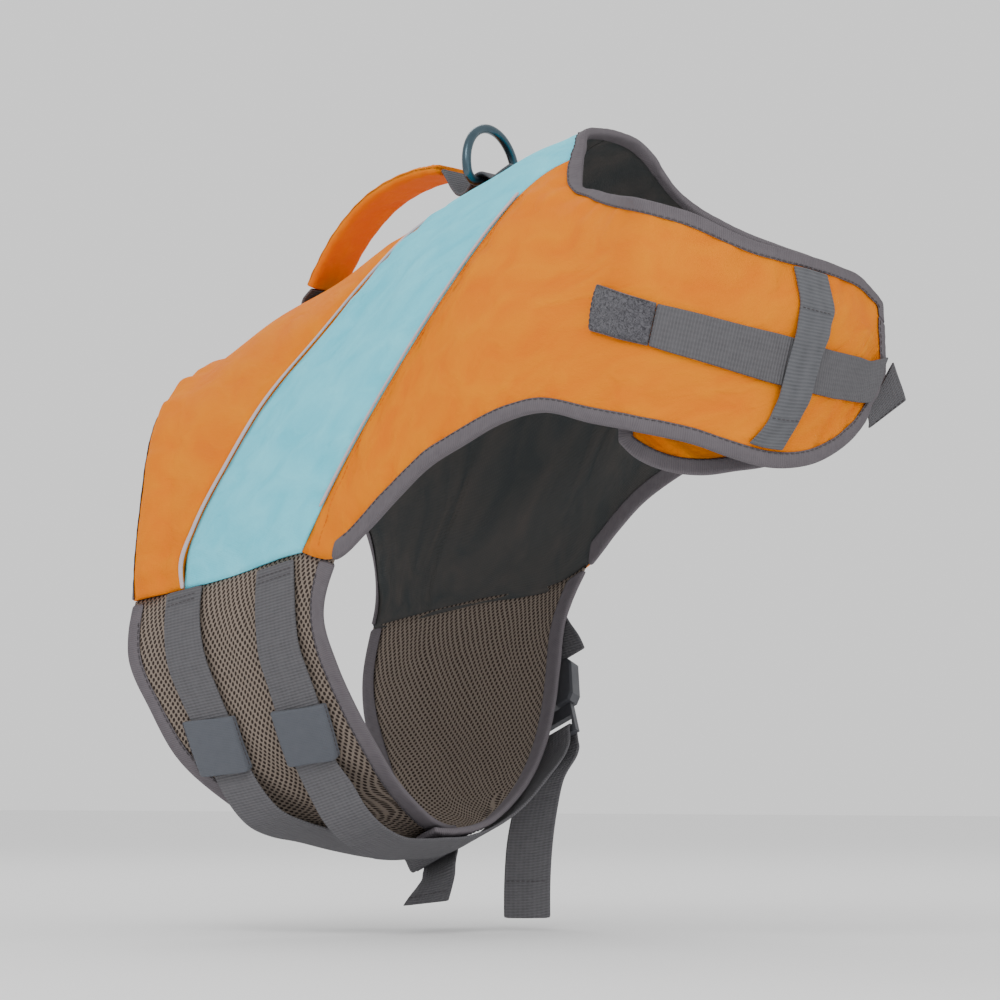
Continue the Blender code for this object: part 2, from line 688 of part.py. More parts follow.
# ---------------------------------------------------------------- straps, buckles and handle
# Webbing over the trunk's oval: its two edges, degrees round the trunk from the widest line of
# its own side, and the height of its lower face over the oval.
Belt = namedtuple("Belt", "left_s left_turn right_s right_turn lift tilt", defaults=(0,))
GIRTH_REAR = [
    Belt(11, -1.6, 34, 0.4, 0.5), Belt(2, 4, 26, 5, 0.5), Belt(-4, 10, 20, 12, 0.5),
    Belt(-6, 18, 17, 20, 0.5), Belt(-7.5, 24, 14.5, 26, 0.5), Belt(-11, 30, 10, 33, 0.6),
    Belt(-14, 36, 7, 38, 1.2), Belt(-14, 42, 8, 43, 6), Belt(-13, 48, 9, 49, 8),
    Belt(-11, 54, 13, 55, 4, 2), Belt(-6, 60, 18, 61, 0, 4), Belt(-2, 68, 23, 69, -3, 6.5),
    Belt(0, 76, 25, 76, -5, 8), Belt(1, 84, 26, 84, -5.5, 9), Belt(0, 92, 25, 92, -5.5, 9),
    Belt(-5, 100, 20, 100, -5, 8), Belt(-12, 109, 13, 109, -2, 5),
]
GIRTH_FRONT = [
    Belt(70, 4.2, 94, 6.4, 0.5), Belt(63, 9, 88, 11, 0.5), Belt(56, 14, 81, 16, 0.5),
    Belt(50, 19, 75, 21, 0.5), Belt(46, 25, 71, 27, 0.5), Belt(41, 31, 66, 33.5, 0.5),
    Belt(36, 37, 58.5, 39.5, 0.8), Belt(31, 43, 52.5, 46, 2.0), Belt(29.5, 50, 54.5, 52, 9),
    Belt(30, 55, 55, 57, 17), Belt(30, 61, 55, 62, 20), Belt(30, 67, 55, 68, 19),
    Belt(29, 75, 54, 75, 13), Belt(28, 84, 53, 84, 7.5), Belt(28, 93, 53, 93, 6.3),
    Belt(33, 103, 58, 103, 6.3), Belt(41, 113, 66, 113, 6.3), Belt(50, 122, 75, 122, 5.5),
]
ANCHOR_REAR = [
    Belt(-9, -4.9, 16, -2.6, -5.2), Belt(-10, 8, 15, 8, 0.5), Belt(-12, 18, 13, 18, 2.5),
    Belt(-14, 28, 11, 28, 4.5), Belt(-16, 36, 9, 36, 5.5), Belt(-16.5, 42.7, 8.5, 42.7, 6.2),
]
ANCHOR_FRONT = [
    Belt(65, 5.2, 90, 7.2, 0), Belt(67, 10, 92, 11, 1.6), Belt(70, 15, 95, 16, 2.2),
    Belt(72.5, 19.5, 97.5, 19.5, 4.2), Belt(73, 22.45, 98, 22.45, 6.5),
]
KEEPER_REAR = [
    Belt(-11, 21.7, 18, 26.3, 2.7), Belt(-15.5, 27.7, 13, 32.3, 3.0), Belt(-20, 33.7, 8, 38.3, 4.0),
]
KEEPER_FRONT = [
    Belt(38.5, 29.7, 69.5, 34.3, 2.8), Belt(33, 35.7, 63, 40.3, 3.2), Belt(27.5, 41.7, 55.5, 46.3, 4.2),
]
# Flat pieces on the near chest flap: two ends of each row on the flap's surface, and the height
# of the lower face over the panel.
Lie = namedtuple("Lie", "left_at left_down right_at right_down over")
NECK_STRAP = [
    Lie(350, 0.47, 346.5, 0.645, 1.1), Lie(360, 0.465, 356, 0.65, 1.1), Lie(371, 0.46, 367, 0.65, 1.1),
    Lie(382, 0.45, 376, 0.645, 0.6), Lie(392, 0.44, 385, 0.64, 0.6), Lie(402, 0.43, 394, 0.635, 0.6),
    Lie(413, 0.42, 403, 0.63, 0.6), Lie(423, 0.445, 413, 0.65, 0.6), Lie(432, 0.47, 423, 0.67, 0.6),
    Lie(444, 0.51, 432, 0.70, 0.6), Lie(455, 0.555, 440, 0.73, 0.6), Lie(465, 0.60, 448, 0.775, 0.7),
    Lie(474, 0.65, 456, 0.82, 1.8), Lie(482, 0.74, 464, 0.88, 2.0),
]
HOOK_TAB = [
    Lie(316, 0.48, 310, 0.69, 0.6), Lie(324, 0.478, 318.5, 0.68, 0.6), Lie(332, 0.475, 327, 0.665, 0.6),
    Lie(340, 0.472, 335.5, 0.655, 0.6), Lie(348, 0.47, 344.5, 0.645, 0.6),
]
FLAP_KEEPER = [
    Lie(418, 0.14, 440, 0.14, 1.3), Lie(417.5, 0.19, 440.5, 0.18, 1.3), Lie(417, 0.24, 441, 0.22, 1.3), Lie(415.5, 0.33, 438, 0.33, 0.8),
    Lie(413, 0.39, 435, 0.41, 2.9), Lie(410, 0.47, 431, 0.49, 3.0), Lie(406, 0.57, 427, 0.585, 3.0),
    Lie(403, 0.66, 423, 0.68, 3.0), Lie(401, 0.70, 420, 0.735, 2.9), Lie(399, 0.76, 417, 0.79, 1.2),
    Lie(396, 0.81, 414, 0.825, 1.2), Lie(392, 0.86, 410, 0.86, 1.2),
]
# Buckles: place of the middle on the left half of the trunk.
Buckle = namedtuple("Buckle", "name s turn lift")
BUCKLES = [Buckle("rear", -4, 54, 7), Buckle("front", 72, 33, 7.5)]
BUCKLE_WIDE, BUCKLE_THICK, BUCKLE_BAR = 33, 8, 3.2
Arch = namedtuple("Arch", "s n")
HANDLE = [
    Arch(96, 13.6), Arch(108, 17.5), Arch(120, 26), Arch(134, 35), Arch(150, 40.5), Arch(166, 42.5),
    Arch(182, 40.5), Arch(195, 34), Arch(203.5, 24), Arch(206.5, 14),
]
HANDLE_WIDE, HANDLE_THICK = 31, 5.5
RING_WIDE, RING_HIGH, RING_WIRE, RING_S = 44, 36, 5, 216


def ribbon(name, rows, colour, thick=WEBBING_THICK):
    """Flat strap through rows of (point, normal); the points lie on its lower face."""
    rings = []
    for row in rows:
        rings.append([p for p, _ in row] + [p + n * thick for p, n in reversed(row)])
    sweep(name, rings, colour)


def belt_row(sign, row, shares=(0, 0.33, 0.67, 1), lifts=None):
    made = []
    for k, share in enumerate(shares):
        s, turn = mix(row.left_s, row.right_s, share), mix(row.left_turn, row.right_turn, share)
        lift = row.lift + row.tilt * share if lifts is None else lifts[k]
        p = trunk_point(sign, turn, s, lift)
        made.append((p, (trunk_point(sign, turn, s, lift + 1) - p).normalized()))
    return made


def keeper(name, rows, rear_lift):
    """Square patch over a strap, its two sides sewn down to the mesh and its binding."""
    shares = (0, 0.045, 0.35, 0.65, 0.955, 1)
    made = [belt_row(RIGHT, r, shares, (rear_lift, r.lift, r.lift, r.lift, r.lift, 0.4)) for r in rows]
    ribbon(name, made, WEB, 1.4)


def lying(panel_name, nodes, rows):
    """Rows of points dropped on a panel from outside."""
    tree = BVHTree.FromPolygons(*SOLIDS[panel_name])
    made = []
    for row in rows:
        line = []
        for k in range(5):
            at = mix(row.left_at, row.right_at, k / 4)
            down = mix(row.left_down, row.right_down, k / 4)
            normal = nodes.side.normal(at, down)
            met = tree.ray_cast(nodes.side.lifted(at, down, 30), -normal, 60)[0]
            line.append((met + normal * row.over, normal))
        made.append(line)
    return made


class BuckleFrame:
    """Local axes of a buckle: u forward, v down the strap, w off the body."""

    def __init__(self, row):
        self.row = row
        self.origin = trunk_point(LEFT, row.turn, row.s, row.lift)
        self.w = (trunk_point(LEFT, row.turn, row.s, row.lift + 1) - self.origin).normalized()
        self.u = Vector((1, 0, 0))
        self.v = self.w.cross(self.u)
        if self.v.z > 0:
            self.v = -self.v

    def at(self, u, v, w):
        return self.origin + self.u * u + self.v * v + self.w * w

    def female(self):
        half, long = BUCKLE_WIDE / 2, 30
        outline = [
            (-half + 3, -26), (half - 3, -26), (half, -22), (half, long - 30), (half - 2.5, 4),
            (5, 4), (4, 0), (-4, 0), (-5, 4), (-half + 2.5, 4), (-half, 0), (-half, -22),
        ]
        levels = ((-BUCKLE_THICK / 2, 0.93), (-BUCKLE_THICK / 2 + 1, 1), (BUCKLE_THICK / 2 - 1, 1),
                  (BUCKLE_THICK / 2, 0.93))
        rings = [[self.at(u * k, -11 + (v + 11) * k, w) for u, v in outline] for w, k in levels]
        sweep(f"buckle_{self.row.name}_female", rings, PLASTIC, rough=0.45)

    def male(self):
        """Sliding frame of the plug half: four bars round the slot that takes the strap."""
        half, bar = BUCKLE_WIDE / 2 - 0.5, BUCKLE_BAR / 2
        slot = [(-13.2, 13), (13.2, 13), (13.2, 21), (-13.2, 21)]
        rim = [(-half + 3, 4.6), (half - 3, 4.6), (half, 24.5), (-half, 24.5)]
        rings = [
            [self.at(*i, -bar), self.at(*o, -bar), self.at(*o, bar), self.at(*i, bar)]
            for i, o in zip(slot, rim)
        ]
        sweep(f"buckle_{self.row.name}_male", rings, PLASTIC, closed=True, rough=0.45)

    def wrap(self):
        """Rows of the strap coming up the trunk, through the slot and back over the bar."""
        path = [
            (33, -4.4, 0, 1), (27, -3.9, 0, 1), (21.5, -3.7, 0.3, 1), (18.9, -2.2, 1, 0.5),
            (18.7, 0, 1, 0), (18.9, 2.2, 1, -0.5), (21.5, 3.7, 0.3, -1), (27, 4.4, 0, -1),
            (32, 5.2, 0, -1),
        ]
        rows = []
        for v, w, nv, nw in path:
            normal = (self.v * nv + self.w * nw).normalized()
            rows.append([(self.at(u, v, w), normal) for u in (-12.5, -4.2, 4.2, 12.5)])
        return rows


TAIL_FRONT = [
    ((56, 90, -261), 0.5), ((47, 88, -272), 0.7), ((38, 86, -286), 0.9), ((29, 84, -304), 1.0),
    ((20, 82, -326), 1.0),
]
TAIL_REAR = [((-16, 46, -288), 0.4), ((-23, 42, -292), 0.7), ((-31, 38, -296), 0.9)]
NECK_TAIL = [   # upper and lower edge of each row
    ((375, 38.3, -175.5), (354, 38.3, -188.5)), ((373, 41.3, -180.5), (350, 40.3, -191.5)),
    ((369, 48.3, -188.5), (346, 45.3, -194.5)), ((367, 51.3, -191.5), (344, 47.3, -195.5)),
]
NECK_TAIL_FACE = Vector((0.45, -0.40, -0.80)).normalized()


def tail_rows(table):
    """Rows of a hanging strap end: its middle, and how far its width has turned to the front."""
    rows = []
    for (s, out, n), turned in table:
        wide = Vector((1, 0, 0)).lerp(Vector((0.74, 0.588, -0.34)), turned).normalized()
        away = Vector((-0.3, 0.9, -0.1)).lerp(Vector((-0.5, 0.8, 0.1)), turned)
        normal = -(away - wide * away.dot(wide)).normalized()
        middle = Vector((s, out, n))
        rows.append([(middle + wide * u, normal) for u in (-12.5, -4.2, 4.2, 12.5)])
    return rows


def neck_tail():
    """Folded strap end past the end of the near chest flap."""
    rings = []
    for upper, lower in NECK_TAIL:
        a, b = Vector(upper), Vector(lower)
        rings.append([(mix(a, b, k), NECK_TAIL_FACE) for k in (0, 0.33, 0.67, 1)])
    ribbon("neck_tail", rings, WEB)


def arch_normals(path):
    normals = []
    for i, p in enumerate(path):
        a, b = path[max(i - 1, 0)], path[min(i + 1, len(path) - 1)]
        along = Vector((b.s - a.s, 0, b.n - a.n)).normalized()
        normals.append(Vector((-along.z, 0, along.x)))
    return normals


def handle():
    half, t = HANDLE_WIDE / 2, HANDLE_THICK
    section = [(-half, t / 2), (-half + 2, 0.3), (-half / 2, 0), (half / 2, 0), (half - 2, 0.3),
               (half, t / 2), (half - 2, t - 0.3), (half / 2, t), (-half / 2, t), (-half + 2, t - 0.3)]
    rings = []
    for p, normal in zip(HANDLE, arch_normals(HANDLE)):
        middle = Vector((p.s, 0, p.n))
        rings.append([middle + Vector((0, y, 0)) + normal * h for y, h in section])
    sweep("handle_sleeve", rings, ORANGE)


def back_strip(name, start, end, over, colour=WEB, wide=WEBBING, thick=WEBBING_THICK):
    """Strip along the spine at a height over the back."""
    count = max(2, round((end - start) / 9))
    rows = []
    for i in range(count + 1):
        s = mix(start, end, i / count)
        rows.append([(Vector((s, wide * k, back_height(s, wide * k) + over(i / count))), Vector((0, 0, 1)))
                     for k in (-0.5, -0.25, 0, 0.25, 0.5)])
    ribbon(name, rows, colour, thick)


def back_height(s, out):
    """Height of the back's outer face at a place."""
    best = None
    for name in ("saddle", "band"):
        met = TREES[name].ray_cast(Vector((s, out, 60)), Vector((0, 0, -1)), 90)[0]
        if met is not None and (best is None or met.z > best):
            best = met.z
    return best


def ring():
    """D-shaped ring standing across the back."""
    r = RING_WIDE / 2
    base = back_height(RING_S, 0) + 4.9 + RING_WIRE / 2
    path = [(-r + 4, 0), (0, 0), (r - 4, 0), (r - 0.8, 3.2)]
    rise = RING_HIGH - r
    path += [(r * math.cos(a), rise + r * math.sin(a)) for a in
             (math.pi * k / 10 for k in range(11))]
    path += [(-r + 0.8, 3.2)]
    rings = []
    for i, (y, h) in enumerate(path):
        (y0, h0), (y1, h1) = path[i - 1], path[(i + 1) % len(path)]
        along = Vector((0, y1 - y0, h1 - h0)).normalized()
        side = Vector((0, -along.z, along.y))
        centre = Vector((RING_S, y, base + h))
        rings.append([
            centre + (side * math.cos(a) + Vector((1, 0, 0)) * math.sin(a)) * (RING_WIRE / 2)
            for a in (math.pi * k / 4 for k in range(8))
        ])
    sweep("d_ring", rings, STEEL, closed=True, rough=0.35, metal=1.0)


def piping(name, sign_rows, column_at):
    """Reflective piping over a seam between two panels."""
    rings = []
    for sign, row in sign_rows:
        nodes = SIDES[sign]
        seam = nodes.points[column_at, row]
        normal = nodes.normals[column_at, row]
        fore = (nodes.points[column_at + 1, row] - seam)
        back = (nodes.points[column_at - 1, row] - seam)
        rise = max(
            nodes.outer(column_at + 1, row) / fore.length, nodes.outer(column_at - 1, row) / back.length
        )
        low = 0.45 + rise * PIPING / 2
        wide = (fore.normalized() - back.normalized()).normalized() * (PIPING / 2)
        base = seam + normal * low
        rings.append([
            base - wide * 0.7, base + wide * 0.7, base + wide + normal * 0.6,
            base + wide * 0.5 + normal * 1.3, base - wide * 0.5 + normal * 1.3, base - wide + normal * 0.6,
        ])
    sweep(name, rings, REFLECTIVE, rough=0.4)


def clear_scene():
    for thing in list(bpy.data.objects):
        bpy.data.objects.remove(thing, do_unlink=True)


clear_scene()
BOTH = (RIGHT, LEFT)
panel("saddle", (0, SADDLE_END), (0, LOW_ROW), BOTH, ORANGE)
panel("band", (SADDLE_END, BAND_END), (0, LOW_ROW), BOTH, BLUE)
for sign in BOTH:
    panel(f"shoulder_{NAMES[sign]}", (BAND_END, LAST), (NECK_ROW, LOW_ROW), (sign,), ORANGE)
    lining(sign)
    Belly(sign).build()
    Belly(sign).tape()

hem = [((0, r), (1, r)) for r in halved(LOW_ROW, 0, (6, 11))]
hem_right = shell_tape(SIDES[RIGHT], hem)
hem_left = shell_tape(SIDES[LEFT], hem)
sweep("hem_binding", hem_right + hem_left[-2::-1], TAPE)

necks = {}
for sign in BOTH:
    nodes = SIDES[sign]
    rings = shell_tape(nodes, neck_pairs(), GAP * 4, 0.35)
    flap = shell_tape(nodes, flap_pairs(BAND_END + 1.2))
    rings.append(short_of(flap[0], rings[-1], GAP))
    necks[sign] = rings
    sweep(f"armhole_binding_{NAMES[sign]}", flap, TAPE)
sweep("neck_binding", necks[LEFT][:0:-1] + necks[RIGHT], TAPE)

both_rows = [(RIGHT, r) for r in range(LOW_ROW, -1, -1)] + [(LEFT, r) for r in range(1, LOW_ROW + 1)]
piping("piping_rear", both_rows, SADDLE_END)
for sign in BOTH:
    piping(f"piping_front_{NAMES[sign]}", [(sign, r) for r in range(NECK_ROW + 2, LOW_ROW)], BAND_END)

frames = {row.name: BuckleFrame(row) for row in BUCKLES}
for frame in frames.values():
    frame.female()
    frame.male()
ribbon("girth_strap_rear", [belt_row(RIGHT, r) for r in GIRTH_REAR] + frames["rear"].wrap()
       + tail_rows(TAIL_REAR), WEB)
ribbon("girth_strap_front", [belt_row(RIGHT, r) for r in GIRTH_FRONT] + frames["front"].wrap()
       + tail_rows(TAIL_FRONT), WEB)
ribbon("anchor_strap_rear", [belt_row(LEFT, r) for r in ANCHOR_REAR], WEB)
ribbon("anchor_strap_front", [belt_row(LEFT, r) for r in ANCHOR_FRONT], WEB)
keeper("keeper_rear", KEEPER_REAR, 2.2)
keeper("keeper_front", KEEPER_FRONT, 0.4)

ribbon("neck_strap", lying("shoulder_right", SIDES[RIGHT], NECK_STRAP), WEB)
ribbon("hook_tab", lying("shoulder_right", SIDES[RIGHT], HOOK_TAB), WEB, 2.2)
ribbon("flap_keeper", lying("shoulder_right", SIDES[RIGHT], FLAP_KEEPER), WEB, 1.4)

neck_tail()

TREES = {name: BVHTree.FromPolygons(*SOLIDS[name]) for name in ("saddle", "band")}
back_strip("handle_webbing_rear", 80, 112, lambda t: 0.5)
back_strip("handle_webbing_front", 196, 240, lambda t: 2.6)
handle()
ring()
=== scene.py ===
"""Dog life jacket, filled out as it is worn: cloth, foam, tapes, webbing, buckles and ring.

The jacket is drawn in its own body frame, in millimetres: s runs forward along the back, out runs
sideways from the spine and n is the height over the back. The whole is tipped nose-up by PITCH, as
the CAD frame has it. The right side is -Y and the left side is +Y.
"""

import logging
import math
from collections import namedtuple
from dataclasses import dataclass, field
from enum import Enum
from typing import Callable, Iterable, NamedTuple, Optional, Sequence

import bmesh
import bpy
import numpy as np
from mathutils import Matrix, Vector
from mathutils.bvhtree import BVHTree

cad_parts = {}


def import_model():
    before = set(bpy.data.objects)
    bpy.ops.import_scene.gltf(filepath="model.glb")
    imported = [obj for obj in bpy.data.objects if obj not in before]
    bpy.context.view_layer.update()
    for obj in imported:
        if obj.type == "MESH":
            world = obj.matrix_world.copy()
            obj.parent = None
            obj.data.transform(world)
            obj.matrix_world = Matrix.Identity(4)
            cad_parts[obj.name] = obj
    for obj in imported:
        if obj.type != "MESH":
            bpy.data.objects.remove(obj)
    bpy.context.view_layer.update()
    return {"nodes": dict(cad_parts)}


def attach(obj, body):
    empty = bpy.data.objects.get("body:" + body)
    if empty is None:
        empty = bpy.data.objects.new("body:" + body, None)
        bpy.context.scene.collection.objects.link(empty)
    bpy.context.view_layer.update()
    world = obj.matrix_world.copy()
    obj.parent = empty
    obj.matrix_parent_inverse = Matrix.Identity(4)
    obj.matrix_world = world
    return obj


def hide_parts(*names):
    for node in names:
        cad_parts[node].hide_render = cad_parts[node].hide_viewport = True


LOG = logging.getLogger("life_jacket")
MM = 0.001
PITCH = math.radians(25)
COS, SIN = math.cos(PITCH), math.sin(PITCH)
GAP = 0.3                  # between neighbouring pieces
WORN_AT = (140.0, 0.7)     # s and n of the origin
Grid = np.ndarray
Thing, Socket = bpy.types.Object, bpy.types.NodeSocket


class Flank(Enum):
    """Side of the wearer; the value is the sign of Y."""

    RIGHT = -1
    LEFT = 1

    @property
    def word(self) -> str:
        """Name used in the names of pieces."""
        return self.name.lower()


class Level(Enum):
    """Layer of the shell at which a point is taken."""

    SEAM = 0
    OUTER = 1
    INNER = 2
    LINED = 3


# -------- colours and shader nodes
def linear(code: str) -> tuple[float, float, float, float]:
    """Turns an sRGB colour of six hex digits into linear RGBA."""
    parts = [int(code[i:i + 2], 16) / 255 for i in (0, 2, 4)]
    return (*[p / 12.92 if p <= 0.04045 else ((p + 0.055) / 1.055) ** 2.4 for p in parts], 1.0)


@dataclass
class Nodes:
    """Shader nodes of one material.

    Attributes:
        tree: Node tree of the material.
        shader: Its Principled node.
    """

    tree: bpy.types.NodeTree
    shader: bpy.types.Node

    def add(self, kind: str, values: Optional[dict] = None, links: Optional[dict] = None,
            **settings: object) -> bpy.types.Node:
        """Adds one node with its settings and links.

        Args:
            kind: Blender's type name without its ShaderNode prefix.
            values: Input name or index to a value.
            links: Input name or index to an output socket.
            **settings: Attributes of the node.

        Returns:
            The new node.
        """
        made = self.tree.nodes.new(f"ShaderNode{kind}")
        for name, value in settings.items():
            setattr(made, name, value)
        for key, value in (values or {}).items():
            made.inputs[key].default_value = value
        for key, socket in (links or {}).items():
            self.tree.links.new(socket, made.inputs[key])
        return made

    def maths(self, operation: str, first: Socket, *others: object, clamp: bool = False) -> Socket:
        """Adds one arithmetic node.

        Args:
            operation: Blender's name of the operation.
            first: Socket of the first operand.
            *others: Further operands, sockets or plain numbers.
            clamp: True where the result is held between 0 and 1.

        Returns:
            Output socket of the result.
        """
        links = {0: first} | {k: v for k, v in enumerate(others, 1) if isinstance(v, Socket)}
        values = {k: v for k, v in enumerate(others, 1) if not isinstance(v, Socket)}
        return self.add("Math", values, links, operation=operation, use_clamp=clamp).outputs[0]

    def ramp(self, socket: Socket, start: float, end: float, low: float, high: float) -> Socket:
        """Maps the range from start to end onto low to high, held at both ends."""
        return self.add("MapRange", {1: start, 2: end, 3: low, 4: high}, {0: socket}).outputs[0]

    def ripple(self, axis: Socket, pitch: float) -> Socket:
        """A sine from 0 to 1 along a coordinate, with its pitch in millimetres."""
        wave = self.maths("SINE", self.maths("MULTIPLY", axis, 2 * math.pi / pitch))
        return self.maths("MULTIPLY_ADD", wave, 0.5, 0.5)

    def axes(self) -> tuple[Socket, Socket, Socket]:
        """Coordinates of the flat cut.

        Returns:
            Sockets for the way along, the way across and both as one vector, in millimetres.
        """
        uv = self.add("UVMap", uv_map="cut")
        parts = self.add("SeparateXYZ", {}, {0: uv.outputs[0]})
        return parts.outputs[0], parts.outputs[1], uv.outputs[0]

    def grain(self, where: Socket, size: float, detail: float = 2.0, uneven: float = 0.0) -> Socket:
        """Soft noise from 0 to 1, of lumps about a size in millimetres, with finer octaves."""
        values = {"Scale": 1.0 / size, "Detail": detail, "Distortion": uneven}
        return self.add("TexNoise", values, {"Vector": where}).outputs[0]

    def raise_by(self, *heights: tuple[Socket, float]) -> None:
        """Chains bumps onto the shader.

        Args:
            *heights: Height socket and depth in millimetres of each bump.
        """
        links = {}
        for socket, depth in heights:
            bump = self.add("Bump", {"Distance": depth * MM, "Strength": 1.0}, links | {"Height": socket})
            links = {"Normal": bump.outputs["Normal"]}
        self.tree.links.new(links["Normal"], self.shader.inputs["Normal"])


@dataclass(frozen=True)
class Finish:
    """Base of every finish: one Principled material, made once.

    Attributes:
        name: Name of the material.
        colour: Main colour, sRGB hex.
        shade: Darker colour, sRGB hex: painted shade where cloth, tape and mesh sink, random tone on
            moulded parts.
        roughness: Roughness of the surface.
        metallic: 1 for bare metal.
        sheen: Weight of the fibre fuzz.
        ior: Index of refraction.
        gloss: Strength of the mirror-like part of the reflection.
    """

    name: str
    colour: str
    shade: str
    roughness: float = 0.8
    metallic: float = 0.0
    sheen: float = 0.0
    ior: float = 1.5
    gloss: float = 0.2

    def material(self) -> bpy.types.Material:
        """Returns the material, made the first time it is asked for.

        Returns:
            The material.
        """
        found = bpy.data.materials.get(self.name)
        if found is not None:
            return found
        made = bpy.data.materials.new(self.name)
        made.use_nodes = True
        shader = made.node_tree.nodes["Principled BSDF"]
        for key, value in (
            ("Base Color", linear(self.colour)), ("Roughness", self.roughness),
            ("Metallic", self.metallic), ("IOR", self.ior), ("Specular IOR Level", self.gloss),
            ("Sheen Weight", self.sheen), ("Sheen Roughness", 0.5),
        ):
            shader.inputs[key].default_value = value
        made.diffuse_color = linear(self.colour)
        self.dress(Nodes(made.node_tree, shader))
        return made

    def dress(self, nodes: Nodes) -> None:
        """Adds the pattern of the finish; a plain finish has none."""

    def tone(self, nodes: Nodes, share: Socket) -> None:
        """Mixes the shade into the colour, by a socket with its share from 0 to 1."""
        mixed = nodes.add("Mix", {6: linear(self.colour), 7: linear(self.shade)}, {"Factor": share},
                          data_type="RGBA")
        nodes.tree.links.new(mixed.outputs[2], nodes.shader.inputs["Base Color"])


@dataclass(frozen=True)
class WovenPolyester(Finish):
    """Plain-woven polyester face cloth: fine even threads, and slack creases where foam pulls.

    Attributes:
        thread: Pitch of the weave in millimetres. The real 0.4 mm is drawn coarser to show.
        crinkle: Depth of the small creases, in millimetres.
    """

    thread: float = 0.9
    crinkle: float = 0.5

    def dress(self, nodes: Nodes) -> None:
        """Adds the weave and the crinkles, with painted shade where the crinkles sink and between the
        threads.

        Args:
            nodes: Nodes of the material.
        """
        along, across, both = nodes.axes()
        warp, weft = nodes.ripple(along, self.thread), nodes.ripple(across, self.thread)
        weave = nodes.maths("MULTIPLY", warp, weft)
        broad, fine = nodes.grain(both, 22.0, 3.0, 0.6), nodes.grain(both, 6.0, 2.0, 0.3)
        # painted shade: the shade colour is mixed in where the crinkles sink and in the gaps between the
        # threads
        hollow_shade = nodes.ramp(broad, 0.30, 0.75, 0.65, 0.0)
        thread_gap_shade = nodes.maths("MULTIPLY_ADD", weave, -0.22, 0.22)
        self.tone(nodes, nodes.maths("ADD", hollow_shade, thread_gap_shade, clamp=True))
        nodes.raise_by((broad, self.crinkle * 4), (fine, self.crinkle), (weave, 0.1))


@dataclass(frozen=True)
class RibbedTape(Finish):
    """Woven narrow tape or webbing: ribs along it, crossed by finer picks.

    Attributes:
        rib: Pitch of the ribs across the tape, in millimetres.
        pick: Pitch of the picks along it, in millimetres.
        depth: Height of a rib, in millimetres.
    """

    rib: float = 1.8
    pick: float = 1.3
    depth: float = 0.25

    def dress(self, nodes: Nodes) -> None:
        """Adds ribs and picks, with painted shade in the grooves between them, varied by a faint random
        grain.

        Args:
            nodes: Nodes of the material.
        """
        along, across, both = nodes.axes()
        ribs, picks = nodes.ripple(across, self.rib), nodes.ripple(along, self.pick)
        knit = nodes.maths("MULTIPLY_ADD", ribs, 0.35, picks)
        uneven = nodes.grain(both, 5.0, 3.0)
        # painted shade in the grooves between ribs and picks, its strength varied by the random grain
        self.tone(nodes, nodes.maths("MULTIPLY", nodes.ramp(knit, 0.0, 1.35, 0.95, 0.0), uneven))
        nodes.raise_by((uneven, 0.35), (ribs, self.depth * 0.5), (picks, self.depth))


@dataclass(frozen=True)
class AirMesh(Finish):
    """Knitted air mesh: slanting rows of long holes through a soft face.

    Attributes:
        along: Pitch of the holes along the cut, in millimetres.
        across: Pitch across it. The real 2 by 3 mm is drawn coarser to show.
        pull: How far the knit is drawn askew, in millimetres.
    """

    along: float = 3.0
    across: float = 4.4
    pull: float = 1.8

    def dress(self, nodes: Nodes) -> None:
        """Adds staggered holes with painted shade inside them, in a fuzzy face that is drawn askew.

        Args:
            nodes: Nodes of the material.
        """
        x, y, both = nodes.axes()
        slant = nodes.maths("MULTIPLY_ADD", y, 0.45, x)
        spots = []
        for axis, pitch, lump in ((slant, self.along, 17.0), (y, self.across, 23.0)):
            drawn = nodes.maths("MULTIPLY_ADD", nodes.grain(both, lump), self.pull, axis)
            half = nodes.maths("ADD", drawn, pitch / 2)
            spots.append((nodes.ripple(drawn, pitch), nodes.ripple(half, pitch)))
        first, second = (nodes.maths("MULTIPLY", *pair) for pair in zip(*spots))
        pit = nodes.ramp(nodes.maths("MAXIMUM", first, second), 0.46, 0.68, 0.0, 1.0)
        # painted shade: the holes take the dark shade colour
        self.tone(nodes, pit)
        face = nodes.maths("MULTIPLY_ADD", pit, -1.0, 1.0)
        nodes.raise_by((nodes.grain(both, 30.0), 2.0), (face, 0.8))


@dataclass(frozen=True)
class Napped(Finish):
    """Napped loop tape: a dense mat of short fibres.

    Attributes:
        tuft: Size of a tuft, in millimetres.
    """

    tuft: float = 1.4

    def dress(self, nodes: Nodes) -> None:
        """Adds tufts, with painted shade between them.

        Args:
            nodes: Nodes of the material.
        """
        _, _, both = nodes.axes()
        tufts = nodes.grain(both, self.tuft, 4.0, 1.5)
        # painted shade between the tufts
        self.tone(nodes, nodes.ramp(tufts, 0.35, 0.6, 1.0, 0.0))
        nodes.raise_by((tufts, 0.9))


@dataclass(frozen=True)
class Moulded(Finish):
    """Hard surface, moulded or plated, with a faint grain.

    Attributes:
        grit: Size of the grain, in millimetres.
        depth: Depth of the grain, in millimetres.
    """

    grit: float = 0.8
    depth: float = 0.03

    def dress(self, nodes: Nodes) -> None:
        """Adds the grain and a little unevenness of the gloss.

        Args:
            nodes: Nodes of the material.
        """
        place = nodes.add("TexCoord").outputs["Object"]
        scaled = nodes.add("VectorMath", {1: (1 / MM,) * 3}, {0: place}, operation="MULTIPLY").outputs[0]
        grit, cloud = nodes.grain(scaled, self.grit, 3.0), nodes.grain(scaled, 9.0)
        self.tone(nodes, cloud)
        gloss = nodes.ramp(cloud, 0.3, 0.7, self.roughness - 0.06, self.roughness + 0.08)
        nodes.tree.links.new(gloss, nodes.shader.inputs["Roughness"])
        nodes.raise_by((grit, self.depth))
